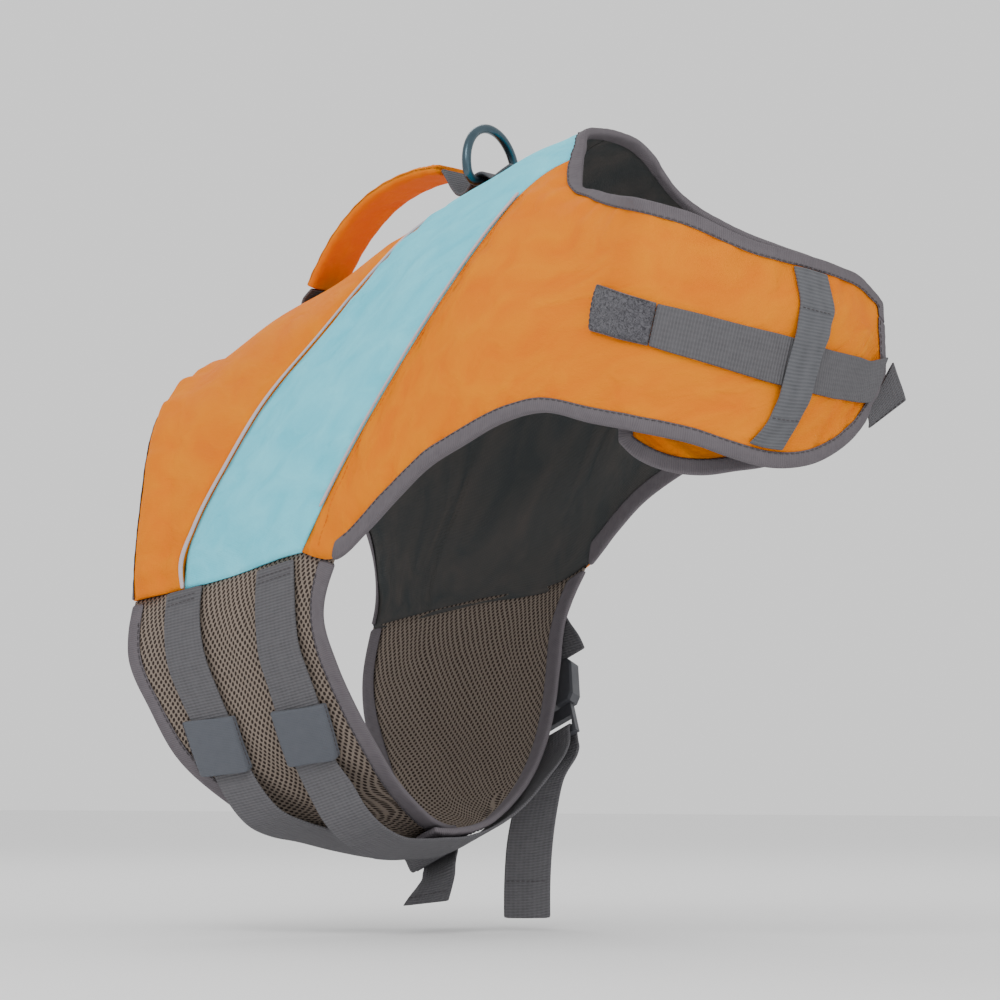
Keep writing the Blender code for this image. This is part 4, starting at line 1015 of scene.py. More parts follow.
@dataclass
class Patch:
    """One panel of the shell as dense layers of points, smooth through the nodes of the cut.

    Attributes:
        lattices: Nodes of both sides.
        flanks: Sides that the panel covers.
        columns: First and last column.
        top: First row of a one-sided panel.
    """

    lattices: dict
    flanks: tuple
    columns: tuple
    top: int = 0

    def __post_init__(self) -> None:
        """Samples every layer."""
        if len(self.flanks) == 2:
            self.keys = [(Flank.RIGHT, r) for r in range(LOW_ROW, 0, -1)]
            self.keys += [(Flank.LEFT, r) for r in range(LOW_ROW + 1)]
        else:
            self.keys = [(self.flanks[0], r) for r in range(self.top, LOW_ROW + 1)]
        self.layers = {level: self.sampled(lambda k, c, r, v=level: k.at(c, r, v)) for level in Level}
        self.out = unit(self.sampled(lambda k, c, r: np.array(k.normals[c, r])))
        self.cut = sheet_cut(self.layers[Level.SEAM])

    def sampled(self, read: Callable) -> Grid:
        """Reads every node of the panel and samples smoothly between them."""
        rough = np.array([[read(self.lattices[f], c, r) for f, r in self.keys]
                          for c in range(self.columns[0], self.columns[1] + 1)])
        return smooth(smooth(rough, FINE, 0), FINE, 1)

    def index(self, flank: Flank, c: float, r: float) -> tuple[float, float]:
        """Dense place of a column and row."""
        down = r - self.top if len(self.flanks) == 1 else LOW_ROW + flank.value * r
        return (c - self.columns[0]) * FINE, down * FINE

    def read(self, layer: Grid, flank: Flank, c: float, r: float) -> Grid:
        """Value of a dense layer between its samples."""
        return blend(layer, *self.index(flank, c, r))

    def edge_distance(self) -> tuple[Grid, Grid]:
        """Distances along the cut to the nearer end, and down it to the nearer edge."""
        u, v = self.cut[..., 0], self.cut[..., 1]
        return np.minimum(u, u[-1:] - u), np.minimum(v, v[:, -1:] - v)

    def crumple(self, creases: dict, seed: int) -> None:
        """Raises puckers along the edges, broad slackness and single creases in the outer face.

        Args:
            creases: Single folds of each side.
            seed: Seed of the phases.
        """
        random = np.random.default_rng(seed)
        u, v = self.cut[..., 0], self.cut[..., 1]
        ends, sides = self.edge_distance()
        rise = np.zeros(u.shape)
        for place, off, reach in zip((v, u), (ends, sides), PUCKER_REACHES):
            hold = np.exp(-(np.maximum(off - PUCKERS_FULL, 0.0) / reach) ** 2)
            hold *= np.clip((off - PUCKERS_FROM) / 8.0, 0, 1)
            for pitch, size in PUCKERS:
                start = random.uniform(0, 6.28)
                sway = start + 0.9 * wave(place, SWAY_PITCH, random.uniform(0, 6.28))
                rise += hold * size * wave(place, pitch, sway)
        if self.columns[1] == LAST:
            rise *= np.clip((self.cut[-1:, :, 0] - u - 4) / EDGE_ZONE, 0.08, 1)
        calm = np.clip(np.minimum(ends, sides) / EDGE_ZONE, 0, 1)
        for _ in range(SLACK_WAVES):
            turn, pitch = random.uniform(0, 3.14), random.uniform(*SLACK_PITCH)
            way = u * math.cos(turn) + v * math.sin(turn)
            rise += calm * SLACK_SIZE * wave(way, pitch, random.uniform(0, 6.28))
        if self.columns[0] == 0:
            rise += HEM_PUFF * np.sin(math.pi * np.clip(u / EDGE_ZONE, 0, 1) ** 0.8)
        outer = self.layers[Level.OUTER]
        steps = np.linspace(0, 1, 9)
        for flank, fold in ((f, fold) for f in Flank if f in self.flanks for fold in creases[f]):
            if not self.columns[0] <= fold.column <= self.columns[1]:
                continue
            line = np.array([self.read(outer, flank, mix(fold.column, fold.to_column, t),
                                       mix(fold.row, fold.to_row, t)) for t in steps])
            off = np.linalg.norm(outer[:, :, None, :] - line[None, None], axis=-1)
            fade = np.sin(np.clip(steps, 0.06, 0.94) * math.pi) ** 0.5
            near = (np.exp(-(off / fold.width) ** 2) * fade).max(axis=-1)
            shoulder = (np.exp(-((off - 1.8 * fold.width) / fold.width) ** 2) * fade).max(axis=-1)
            rise += calm ** 0.5 * fold.depth * (0.35 * shoulder - near)
        self.layers[Level.OUTER] = outer + self.out * rise[..., None]

    def build(self, name: str, finish: Finish, slot: str, seams: tuple[bool, bool]) -> None:
        """Adds the panel as one padded piece.

        Args:
            name: Name of the piece and of the node that it stands for.
            finish: Cloth of the panel.
            slot: Material slot.
            seams: Whether the first and last column are sewn to a neighbour.
        """
        layers = []
        for level in (Level.OUTER, Level.INNER):
            layer = self.layers[level].copy()
            for end, step, sewn in ((0, 1, seams[0]), (-1, -2, seams[1])):
                if sewn:
                    layer[end] += unit(layer[step] - layer[end]) * GAP
            layers.append(layer)
        made = add_wall(f"{name}_padded", *layers, cells(self.cut), self.cut, finish, name, slot)


# Soft folds, each from one column and row of the cut to another, with half its width and its depth.
Crease = namedtuple("Crease", "column row to_column to_row width depth")
CREASES = {
    Flank.RIGHT: named(Crease, (
        (9.0, 4.2, 9.6, 6.4, 3.2, 1.3), (10.2, 4.8, 10.6, 7.2, 3.6, 1.1),
        (11.2, 5.6, 11.6, 7.6, 3.0, 1.0), (9.2, 7.4, 10.6, 8.6, 3.4, 1.0), (6.2, 2.4, 7.4, 4.2, 4.2, 1.1),
        (3.2, 5.2, 4.6, 6.4, 4.6, 0.9), (15.2, 5.0, 17.6, 6.2, 3.4, 1.1),
        (18.4, 4.8, 20.4, 7.0, 3.6, 1.0), (14.4, 7.6, 16.8, 8.6, 3.2, 0.9),
    )),
    Flank.LEFT: named(Crease, (
        (9.0, 4.0, 9.8, 6.6, 3.4, 1.1), (10.6, 5.0, 11.2, 7.4, 3.6, 1.0), (4.4, 4.8, 5.8, 6.8, 4.4, 1.0),
        (16.2, 5.0, 18.4, 6.6, 3.6, 1.0), (21.0, 5.2, 22.6, 7.2, 3.2, 0.9),
    )),
}

# Binding tapes: widths of the outer and the inner leg, and the gap to the cloth.
HEM_TAPE, NECK_TAPE, FLAP_TAPE, MESH_TAPE = (
    (2.6, 8.5, 0.45), (5.8, 5.0, 0.5), (6.5, 7.0, 0.45), (7.2, 7.2, 0.45))
TAPE_THICK = 0.7
CLOSE_ROUNDS, CLOSE_STEP = 8, 2.4              # evens sections that stand closer than this
TAPE_WAVES = ((6.8, 0.14), (17.0, 0.12))       # pitch and size of a tape's unevenness


def eased(values: Grid, rounds: int) -> Grid:
    """Evens out values along the first axis, with both ends held.

    Args:
        values: Values along the first axis.
        rounds: How often each is mixed with its neighbours.

    Returns:
        The evened values.
    """
    made = np.array(values, float)
    for _ in range(rounds):
        made[1:-1] = (made[:-2] + 2 * made[1:-1] + made[2:]) / 4
    return made


def between(pairs: Sequence[tuple], steps: int) -> list:
    """Adds places between the pairs of places of a tape.

    Args:
        pairs: Edge place and margin place of each station.
        steps: Stations for each span.

    Returns:
        The finer list, from the first pair to the last.
    """
    flat = np.array([edge + rim for edge, rim in pairs], float)
    fine = [flat[i] * (1 - k / steps) + flat[i + 1] * k / steps
            for i in range(len(flat) - 1) for k in range(steps)]
    return [(tuple(v[:2]), tuple(v[2:])) for v in fine + [flat[-1]]]


def fold_tape(read: Callable, pairs: Sequence[tuple], wide: float, wide_in: float, gap: float) -> Grid:
    """Sections of a binding tape folded round an edge, with a leg on each face.

    Args:
        read: Gives the outer point, the inner point and the normal at a place.
        pairs: Edge place and margin place of each station.
        wide: Width of the outer leg, in millimetres.
        wide_in: Width of the inner leg, in millimetres.
        gap: Gap to the cloth, in millimetres.

    Returns:
        Sixteen points round each section.
    """
    out, low, normal = (np.array(v) for v in zip(*(read(*edge) for edge, _ in pairs)))
    rims = [np.array(v) for v in zip(*(read(*rim) for _, rim in pairs))][:2]
    middle = (out + low) / 2
    away = np.cross(unit(np.gradient(eased(middle, 4), axis=0)), eased(normal, 4))
    away *= np.sign((away * (out - rims[0])).sum(axis=1, keepdims=True))
    away = unit(eased(away, 12))
    normal = eased(normal, 12)
    normal = unit(normal - away * (normal * away).sum(axis=1, keepdims=True))
    legs = []
    for face, (edge, reach) in enumerate(((out, wide), (low, wide_in))):
        deep = np.maximum(((edge - rims[face]) * away).sum(axis=1), 1.0)
        share = eased(np.clip(reach / deep, 0, 1), 6)
        for part in (1.0, 0.5):
            spots = [read(*(mix(a, b, k * part) for a, b in zip(*pair)))[face]
                     for pair, k in zip(pairs, share)]
            legs.append(eased(np.array(spots), 3))
    leg, half, leg_in, half_in = legs
    g, t = gap, TAPE_THICK

    def at(base: Grid, up: float, off: float = 0.0) -> Grid:
        """Moves points out from the cloth and away from its edge."""
        return base + normal * up + away * off

    thin, full, face, bend = g + t * 0.8, g + t * 1.1, g + t, (g + t) * 0.3
    rings = np.stack([
        at(leg, g), at(leg, thin), at(half, full), at(out, face, bend),
        at(out, bend, face), at(middle, 0, full), at(low, -bend, face), at(low, -face, bend),
        at(half_in, -full), at(leg_in, -thin), at(leg_in, -g), at(half_in, -g),
        at(low, -g, g / 2), at(middle, 0, g), at(out, g, g / 2), at(half, g),
    ], axis=1)
    for _ in range(CLOSE_ROUNDS):
        step = np.linalg.norm(rings[2:, 4] - rings[:-2, 4], axis=1)
        pull = 0.5 * np.clip(1 - step / CLOSE_STEP, 0, 1)[:, None, None]
        rings[1:-1] += pull * ((rings[2:] + rings[:-2]) / 2 - rings[1:-1])
    return rings


# Section of the piping: shares of half its width, and heights over its base.
PIPING_SECTION = (
    (-0.75, 0.0), (0.75, 0.0), (1.0, 0.55), (0.62, 1.15), (0, 1.4), (-0.62, 1.15), (-1.0, 0.55),
)
LINING_STEP = (4.0, 3.6)   # millimetres of cloth for one step of the dense panel, along and down


@dataclass
class Shell:
    """Padded saddle, band and shoulders, with their lining, bindings and piping.

    Attributes:
        creases: Soft folds of the panels.
        piping: Width of the reflective piping, in millimetres.
        lining_thick: Thickness of the lining, in millimetres.
    """

    creases: dict
    piping: float = 2.5
    lining_thick: float = 0.6
    patches: dict = field(default_factory=dict)

    def __post_init__(self) -> None:
        """Samples and crumples every panel."""
        self.lattices = {flank: Lattice(flank) for flank in Flank}
        both = (Flank.RIGHT, Flank.LEFT)
        self.patches["saddle"] = Patch(self.lattices, both, (0, SADDLE_END))
        self.patches["band"] = Patch(self.lattices, both, (SADDLE_END, BAND_END))
        for flank in Flank:
            self.patches[f"shoulder_{flank.word}"] = Patch(
                self.lattices, (flank,), (BAND_END, LAST), NECK_ROW)
        for seed, patch in enumerate(self.patches.values()):
            patch.crumple(self.creases, 11 + seed)

    def patch(self, flank: Flank, c: float) -> Patch:
        """The panel that holds a column."""
        name = "saddle" if c < SADDLE_END else "band" if c < BAND_END else f"shoulder_{flank.word}"
        return self.patches[name]

    def spot(self, flank: Flank, c: float, r: float, level: Level,
             lift: float = 0.0) -> tuple[Grid, Grid]:
        """Point and outward normal anywhere on a layer.

        Args:
            flank: The side.
            c: Column.
            r: Row.
            level: The layer.
            lift: Height over it.

        Returns:
            The point and the normal.
        """
        patch = self.patch(flank, c)
        if c == BAND_END and r < NECK_ROW:
            patch = self.patches["band"]
        normal = unit(patch.read(patch.out, flank, c, r))
        return patch.read(patch.layers[level], flank, c, r) + normal * lift, normal

    def dress(self) -> None:
        """Adds the four padded panels."""
        self.patches["saddle"].build("saddle", ORANGE, "orange_polyester", (False, True))
        self.patches["band"].build("band", BLUE, "blue_polyester", (True, True))
        for flank in Flank:
            name = f"shoulder_{flank.word}"
            self.patches[name].build(name, ORANGE, "orange_polyester", (True, False))

    def line(self, flank: Flank) -> None:
        """Adds the lining of one side, under every panel.

        Args:
            flank: The side.
        """
        points, index, quads = [], {}, []

        def cell(i: int, j: int) -> list:
            """Corner indices of one cell of the side."""
            return [index[k] for k in ((i, j), (i + 1, j), (i + 1, j + 1), (i, j + 1))]

        for patch in self.patches.values():
            if flank not in patch.flanks:
                continue
            j0 = LOW_ROW * FINE if len(patch.flanks) == 2 else 0
            rows = range(j0, -1, -1) if flank is Flank.RIGHT and j0 else range(j0, patch.cut.shape[1])
            base, layer = patch.columns[0] * FINE, patch.layers[Level.LINED]
            top = patch.top * FINE
            for i in range(patch.cut.shape[0]):
                for n, j in enumerate(rows):
                    if (base + i, top + n) not in index:
                        index[base + i, top + n] = len(points)
                        aside = 0 if top + n else flank.value * GAP / 2
                        points.append((layer[i, j] + np.array([0, aside, 0]), patch.out[i, j]))
            quads += [cell(base + i, top + n) for i in range(patch.cut.shape[0] - 1)
                      for n in range(len(rows) - 1)]
        last = LOW_ROW * FINE
        for i in range(BAND_END * FINE + 1):
            at, above = (points[index[i, last - k]] for k in (0, 2))
            run = 3.0 * min(1.0, i / 6, (BAND_END * FINE - i) / 6)
            low = at[0] + unit(at[0] - above[0]) * (run + 0.2) - at[1] * (0.2 * run)
            index[i, last + 1] = len(points)
            points.append((low, at[1]))
            if i:
                quads.append(cell(i - 1, last))
        outer, out = (np.array(values) for values in zip(*points))
        inner = outer - out * self.lining_thick
        where = np.array(list(index)) * LINING_STEP
        made = add_wall(f"lining_cloth_{flank.word}", outer, inner, quads, where, LINING,
                        f"lining_{flank.word}", "lining_cloth")
        area = self.lined_area(flank)

    def lined_area(self, flank: Flank) -> float:
        """Area of one side's lining in square metres.

        Args:
            flank: The side.

        Returns:
            The area.
        """
        total = 0.0
        for patch in self.patches.values():
            if flank in patch.flanks:
                layer, half = patch.layers[Level.LINED], LOW_ROW * FINE
                if len(patch.flanks) == 2:
                    layer = layer[:, :half + 1] if flank is Flank.RIGHT else layer[:, half:]
                total += area_of(layer)
        return total

    def reader(self, flank: Flank) -> Callable:
        """Function that reads both faces and the normal of one side at a column and row.

        Args:
            flank: The side.

        Returns:
            The function.
        """
        def read(c: float, r: float) -> tuple[Grid, Grid, Grid]:
            """Outer point, inner point and normal."""
            out, normal = self.spot(flank, c, r, Level.OUTER)
            return out, self.spot(flank, c, r, Level.LINED, -self.lining_thick)[0], normal
        return read

    def bind(self, name: str, rings: Grid, stitches: Optional[Stitches], replaces: str) -> None:
        """Adds a binding through its sections, with a row of stitches near its leg's end.

        Args:
            name: Name of the piece.
            rings: Sections along it.
            stitches: Where the stitching is gathered; none where the cloth hides it.
            replaces: CAD node that it stands for.
        """
        fine = smooth(rings, 2)
        up = unit(fine[:, 1] - fine[:, 0])
        place = travel(fine.mean(axis=1))
        pull = sum(size * wave(place, pitch) for pitch, size in TAPE_WAVES)
        fine[:, 1:4] += (up * pull[:, None])[:, None]
        add_piece(name, fine.reshape(-1, 3), tube(fine), ring_cut(fine), BINDING, (replaces,),
                  "binding_tape", levels=1)
        if stitches:
            seam = fine[:, 1] * 0.72 + fine[:, 2] * 0.28 + up * 0.12
            stitches.row(seam[3:-3], up[3:-3])

    def neck_pairs(self) -> list:
        """Edge and margin places along half the neck, from the spine round the flap's upper corner.

        Returns:
            Edge place and margin place of each station.
        """
        b, n = BAND_END, NECK_ROW
        collar = [((b, r), (b - 1, r)) for r in range(n)]
        turn = [((b, n - 0.25), (b - 1, n)), ((b, n), (b - 1, n + 1)), ((b + 0.25, n), (b, n + 1))]
        shoulder = [((c, n), (c, n + 1)) for c in range(b + 1, LAST)]
        tip = [((LAST, n), (LAST - 1, n + 1)), ((LAST, n + 0.94), (LAST - 1, n + 1))]
        return collar + turn + shoulder + tip

    def flap_pairs(self, start: float) -> list:
        """Places along a flap's end, round its low corner and back along the leg opening.

        Args:
            start: Column at which the tape starts under the shoulder.

        Returns:
            Edge place and margin place of each station.
        """
        end = [((LAST, r), (LAST - 1, r)) for r in range(NECK_ROW + 1, LOW_ROW)]
        corner = [((LAST, LOW_ROW), (LAST - 1, LOW_ROW - 1))]
        columns = list(range(LAST - 1, math.ceil(start) - 1, -1)) + [start]
        return end + corner + [((c, LOW_ROW), (c, LOW_ROW - 1)) for c in columns]

    def edge(self, stitches: Stitches) -> None:
        """Adds the bindings of hem, neck, flaps and leg openings.

        Args:
            stitches: Where their stitching is gathered.
        """
        hem = between([((0, r), (1, r)) for r in range(LOW_ROW, -1, -1)], FINE)
        halves, necks = {}, {}
        for flank in Flank:
            read = self.reader(flank)
            halves[flank] = fold_tape(read, hem, *HEM_TAPE)
            necks[flank] = fold_tape(read, between(self.neck_pairs(), FINE), *NECK_TAPE)
            flap = fold_tape(read, between(self.flap_pairs(BAND_END + 1.03), FINE), *FLAP_TAPE)
            self.bind(f"armhole_tape_{flank.word}", flap, stitches, f"armhole_binding_{flank.word}")
        joined = np.concatenate([halves[Flank.RIGHT], halves[Flank.LEFT][-2::-1]])
        self.bind("hem_tape", joined, None, "hem_binding")
        joined = np.concatenate([necks[Flank.LEFT][:0:-1], necks[Flank.RIGHT]])
        self.bind("neck_tape", joined, stitches, "neck_binding")

    def pipe(self, name: str, rows: Sequence[tuple], c: int, replaces: str) -> None:
        """Adds reflective piping over a seam between two panels.

        Args:
            name: Name of the piece.
            rows: Side and row of each place along the seam.
            c: Column of the seam.
            replaces: CAD node that it stands for.
        """
        rings = []
        for flank, r in rows:
            seam, normal = self.spot(flank, c, r, Level.SEAM)
            fore = self.spot(flank, c + 0.3, r, Level.OUTER)[0] - seam
            back = self.spot(flank, c - 0.3, r, Level.OUTER)[0] - seam
            wide = unit(unit(fore) - unit(back))
            rise = max(float(np.dot(v, normal)) / max(float(np.linalg.norm(v)), 0.1)
                       for v in (fore, back))
            base = seam + normal * (0.9 + max(rise, 0.0) * self.piping / 2)
            rings.append([base + wide * x * self.piping / 2 + normal * y for x, y in PIPING_SECTION])
        fine = smooth(np.array(rings), 8)
        add_piece(name, fine.reshape(-1, 3), tube(fine), ring_cut(fine), REFLECTIVE, (replaces,),
                  "reflective_piping", levels=1)

    def trim(self) -> None:
        """Adds the piping of both band seams."""
        rows = [(Flank.RIGHT, r) for r in range(LOW_ROW, -1, -1)]
        rows += [(Flank.LEFT, r) for r in range(1, LOW_ROW + 1)]
        self.pipe("rear_piping", rows, SADDLE_END, "piping_rear")
        for flank in Flank:
            rows = [(flank, r) for r in range(NECK_ROW + 2, LOW_ROW)]
            self.pipe(f"front_piping_{flank.word}", rows, BAND_END, f"piping_front_{flank.word}")

    def topstitch(self, stitches: Stitches) -> None:
        """Lays a row of stitches on the orange side of each band seam.

        Args:
            stitches: Where they are gathered.
        """
        seams = (SADDLE_END - 0.22, (0.1, LOW_ROW)), (BAND_END + 0.42, (NECK_ROW + 2, LOW_ROW))
        for flank in Flank:
            for c, rows in seams:
                spots = [self.spot(flank, c, r, Level.OUTER, 0.1) for r in np.arange(*rows, 0.2)]
                stitches.row(np.array([p for p, _ in spots]), np.array([n for _, n in spots]))

    def tree(self, *names: str) -> BVHTree:
        """Search tree of the outer faces of some panels, in the body frame.

        Args:
            *names: Names of the panels.

        Returns:
            The tree.
        """
        points, quads = [], []
        for name in names:
            patch, base = self.patches[name], len(points)
            points += [Vector(p) for p in patch.layers[Level.OUTER].reshape(-1, 3)]
            quads += [[i + base for i in q] for q in cells(patch.cut)]
        return BVHTree.FromPolygons(points, quads)


# -------- belly mesh and webbing
# turn: degrees round the trunk from its widest line to the belly. rear_s, front_s: edges.
# rear_lift, lift: height over the trunk at the rear edge and from the middle forward.
MeshRow = namedtuple("MeshRow", "turn rear_s front_s rear_lift lift")
MESH_ROWS = {
    Flank.RIGHT: named(MeshRow, (
        (-8, -23, 117, -1, -1), (4, -27, 118, -1, -1), (12, -27, 109, -1, -1), (18, -28, 94, -1, -1),
        (28, -28, 86, -1, -1), (40, -21, 79, -1, -1), (50, -16, 73, -1, -1), (55, -8, 69, -1, -1),
        (61, 6, 65, -1, -1), (68, 14, 61, -1, -1), (76, 17, 55, -1.5, -1.5), (84, 18, 50, -1.5, -1.5),
        (98, 17, 41, -1.5, -1.5),
    )),
    Flank.LEFT: named(MeshRow, (
        (-8, -32, 117, -11, -1), (4, -36, 113, -18, -1), (12, -37, 99, -24, -1), (24, -34, 86, -30, -1),
        (40, -26, 77, -30, -1), (56, -17, 69, -18, 1), (66, 5, 61, -3, 2.5), (78, 31, 57, 4.0, 4.0),
        (98, 30, 51, 4.0, 4.0),
    )),
}
MESH_STEPS = (0, 0.1, 0.21, 0.33, 0.45, 0.57, 0.69, 0.8, 0.9)
MESH_SEAM_AT = (-8, 5, 24, 58, 84, 100, 118)   # columns of the mesh along its seam
MESH_LAST = len(MESH_SEAM_AT) - 1
GIRTH_OUT, GIRTH_DOWN, GIRTH_MID = 116.0, 144.0, -140.0    # oval of the trunk
MESH_THICK, WEB_THICK, KEEPER_THICK, LOOP_THICK = 1.5, 1.6, 1.4, 2.2
WEB_ACROSS = (-12.5, -4.2, 4.2, 12.5)          # points across a 25 mm webbing

# Webbing over the trunk's oval: its two edges, degrees round the trunk from the widest line of
# its own side, and the height of its lower face over the oval.
Belt = namedtuple("Belt", "left_s left_turn right_s right_turn lift tilt", defaults=(0,))
GIRTH_REAR = named(Belt, (
    (12.5, -3.4, 35.5, -0.9, 0.5), (3, 3, 27, 4.5, 0.5), (-4, 10, 20, 12, 0.5), (-6, 18, 17, 20, 0.5),
    (-7.5, 24, 14.5, 26, 0.5), (-11, 30, 10, 33, 0.6), (-14, 36, 7, 38, 1.2), (-14, 42, 8, 43, 6),
    (-13, 48, 9, 49, 8), (-11, 54, 13, 55, 4, 2), (-6, 60, 18, 61, 0, 4), (-2, 68, 23, 69, -3, 6.5),
    (0, 76, 25, 76, -5, 8), (1, 84, 26, 84, -5.5, 9), (0, 92, 25, 92, -5.5, 9), (-5, 100, 20, 100, -5, 8),
    (-12, 109, 13, 109, -2, 5),
))
GIRTH_FRONT = named(Belt, (
    (72, 3.2, 95.5, 5.2, 0.5), (63.5, 8.6, 88.5, 10.6, 0.5), (56, 14, 81, 16, 0.5), (50, 19, 75, 21, 0.5),
    (46, 25, 71, 27, 0.5), (41, 31, 66, 33.5, 0.5), (36, 37, 58.5, 39.5, 0.8), (31, 43, 52.5, 46, 2.0),
    (29.5, 50, 54.5, 52, 9), (30, 55, 55, 57, 17), (30, 61, 55, 62, 20), (30, 67, 55, 68, 19),
    (29, 75, 54, 75, 13), (28, 84, 53, 84, 7.5), (28, 93, 53, 93, 6.3), (33, 103, 58, 103, 6.3),
    (41, 113, 66, 113, 6.3), (50, 122, 75, 122, 5.5),
))
ANCHOR_REAR = named(Belt, (
    (-9, -4.9, 16, -2.6, -5.2), (-10, 8, 15, 8, 0.5), (-12, 18, 13, 18, 2.5), (-14, 28, 11, 28, 4.5),
    (-16, 36, 9, 36, 5.5), (-16.5, 42.7, 8.5, 42.7, 6.2),
))
ANCHOR_FRONT = named(Belt, (
    (65, 5.2, 90, 7.2, 0), (67, 10, 92, 11, 1.6), (70, 15, 95, 16, 2.2), (72.5, 19.5, 97.5, 19.5, 4.2),
    (73, 22.45, 98, 22.45, 6.5),
))
KEEPER_REAR = named(Belt, (
    (-11, 21.7, 18, 26.3, 2.7), (-15.5, 27.7, 13, 32.3, 3.0), (-20, 33.7, 8, 38.3, 4.0),
))
KEEPER_FRONT = named(Belt, (
    (38.5, 29.7, 69.5, 34.3, 2.8), (33, 35.7, 63, 40.3, 3.2), (27.5, 41.7, 55.5, 46.3, 4.2),
))
# Flat pieces on the near chest flap: two ends of each row on the flap's surface, and the height
# of the lower face over the panel.
Lie = namedtuple("Lie", "left_at left_down right_at right_down over")
NECK_STRAP = named(Lie, (
    (348.8, 0.47, 345.4, 0.645, 0.7), (358.6, 0.467, 355.4, 0.653, 0.9),
    (369.2, 0.457, 365.6, 0.654, 0.9), (379.6, 0.438, 375.3, 0.644, 0.6), (391, 0.424, 385, 0.633, 0.6),
    (404, 0.427, 396, 0.636, 0.6), (417, 0.444, 410, 0.654, 0.6), (431, 0.478, 423, 0.683, 0.6),
    (446, 0.515, 436, 0.725, 0.6), (457, 0.555, 445, 0.755, 0.6), (466, 0.605, 452, 0.79, 0.8),
    (474, 0.65, 458, 0.825, 1.8), (482, 0.74, 465, 0.88, 2.0),
))
HOOK_TAB = named(Lie, (
    (318.9, 0.481, 312.4, 0.681, 0.6), (327.3, 0.469, 320.6, 0.668, 0.6), (335.2, 0.467, 330, 0.654, 0.6),
    (342.3, 0.468, 338, 0.648, 0.6), (348.6, 0.469, 345.2, 0.646, 0.6),
))
FLAP_KEEPER = named(Lie, (
    (417, 0.072, 436.6, 0.075, 1.0), (416.8, 0.17, 436.4, 0.19, 1.0), (416.6, 0.26, 435.6, 0.285, 0.9),
    (414, 0.35, 432.5, 0.355, 1.4), (411.6, 0.4, 429.8, 0.415, 2.9), (408.5, 0.474, 426.2, 0.482, 3.0),
    (404.9, 0.569, 422.2, 0.576, 3.0), (401.6, 0.653, 418.4, 0.664, 3.0),
    (399.6, 0.7, 416.2, 0.712, 2.9), (397, 0.757, 413.4, 0.766, 1.3), (394.6, 0.803, 410.8, 0.811, 1.0),
    (390.5, 0.858, 406.5, 0.869, 1.0), (385.8, 0.925, 402, 0.93, 1.0),
))
TAIL_FRONT = [
    ((56, 90, -261), 0.5), ((47, 88, -272), 0.7), ((38, 86, -286), 0.9), ((29, 84, -304), 1.0),
    ((20, 82, -326), 1.0),
]
TAIL_REAR = [((-6, 49.8, -291), 0.25), ((-10, 47.6, -295.5), 0.5), ((-15, 45.8, -300.5), 0.75)]
NECK_TAIL = [   # upper and lower edge of each row
    ((375, 38.3, -175.5), (354, 38.3, -188.5)), ((373, 41.3, -180.5), (350, 40.3, -191.5)),
    ((369, 48.3, -188.5), (346, 45.3, -194.5)), ((367, 51.3, -191.5), (344, 47.3, -195.5)),
]
NECK_TAIL_FACE = Vector((0.45, -0.40, -0.80)).normalized()
Arch = namedtuple("Arch", "s n")
SLEEVE = named(Arch, (
    (96.5, 18.5), (103, 23), (111, 28), (122, 34), (135, 38.8), (150, 42), (162, 42.2), (175, 40.4),
    (186, 37.4), (192.5, 34.8), (198, 32.2),
))
HANDLE_WIDE, HANDLE_THICK = 31.0, 5.5
LIES_BELOW = 5             # webbing lower than this follows the back's own curve across
# Webbing along the spine: places along the back, and heights of the lower face over it.
HANDLE_FOLD = [(95.3, 9.0), (91, 8.0), (87, 6.3), (85, 3.8), (86.2, 1.4), (89.5, 0.6)]
HANDLE_FOLD += [(94 + 4 * k, 0.6) for k in range(6)]
RING_LOOP = [
    (199.6, 24.5), (200.6, 18), (201.4, 11.5), (203.6, 6.4), (208, 5.2), (213, 7.4), (219, 10.5),
    (222, 9.9), (224.5, 7.6), (227, 5.0), (231, 3.2), (236, 2.8), (241, 2.7),
]


def trunk_point(sign: int, turn: float, s: float, lift: float) -> Grid:
    """Point over the trunk's oval: turn 0 at its widest, 90 under the belly.

    Args:
        sign: Sign of the side.
        turn: Degrees round the oval.
        s: Place along the back.
        lift: Height over the oval.

    Returns:
        The point, in millimetres.
    """
    a = math.radians(turn)
    normal = unit(np.array([0, sign * math.cos(a) / GIRTH_OUT, -math.sin(a) / GIRTH_DOWN]))
    base = np.array([s, sign * GIRTH_OUT * math.cos(a), GIRTH_MID - GIRTH_DOWN * math.sin(a)])
    return base + normal * lift


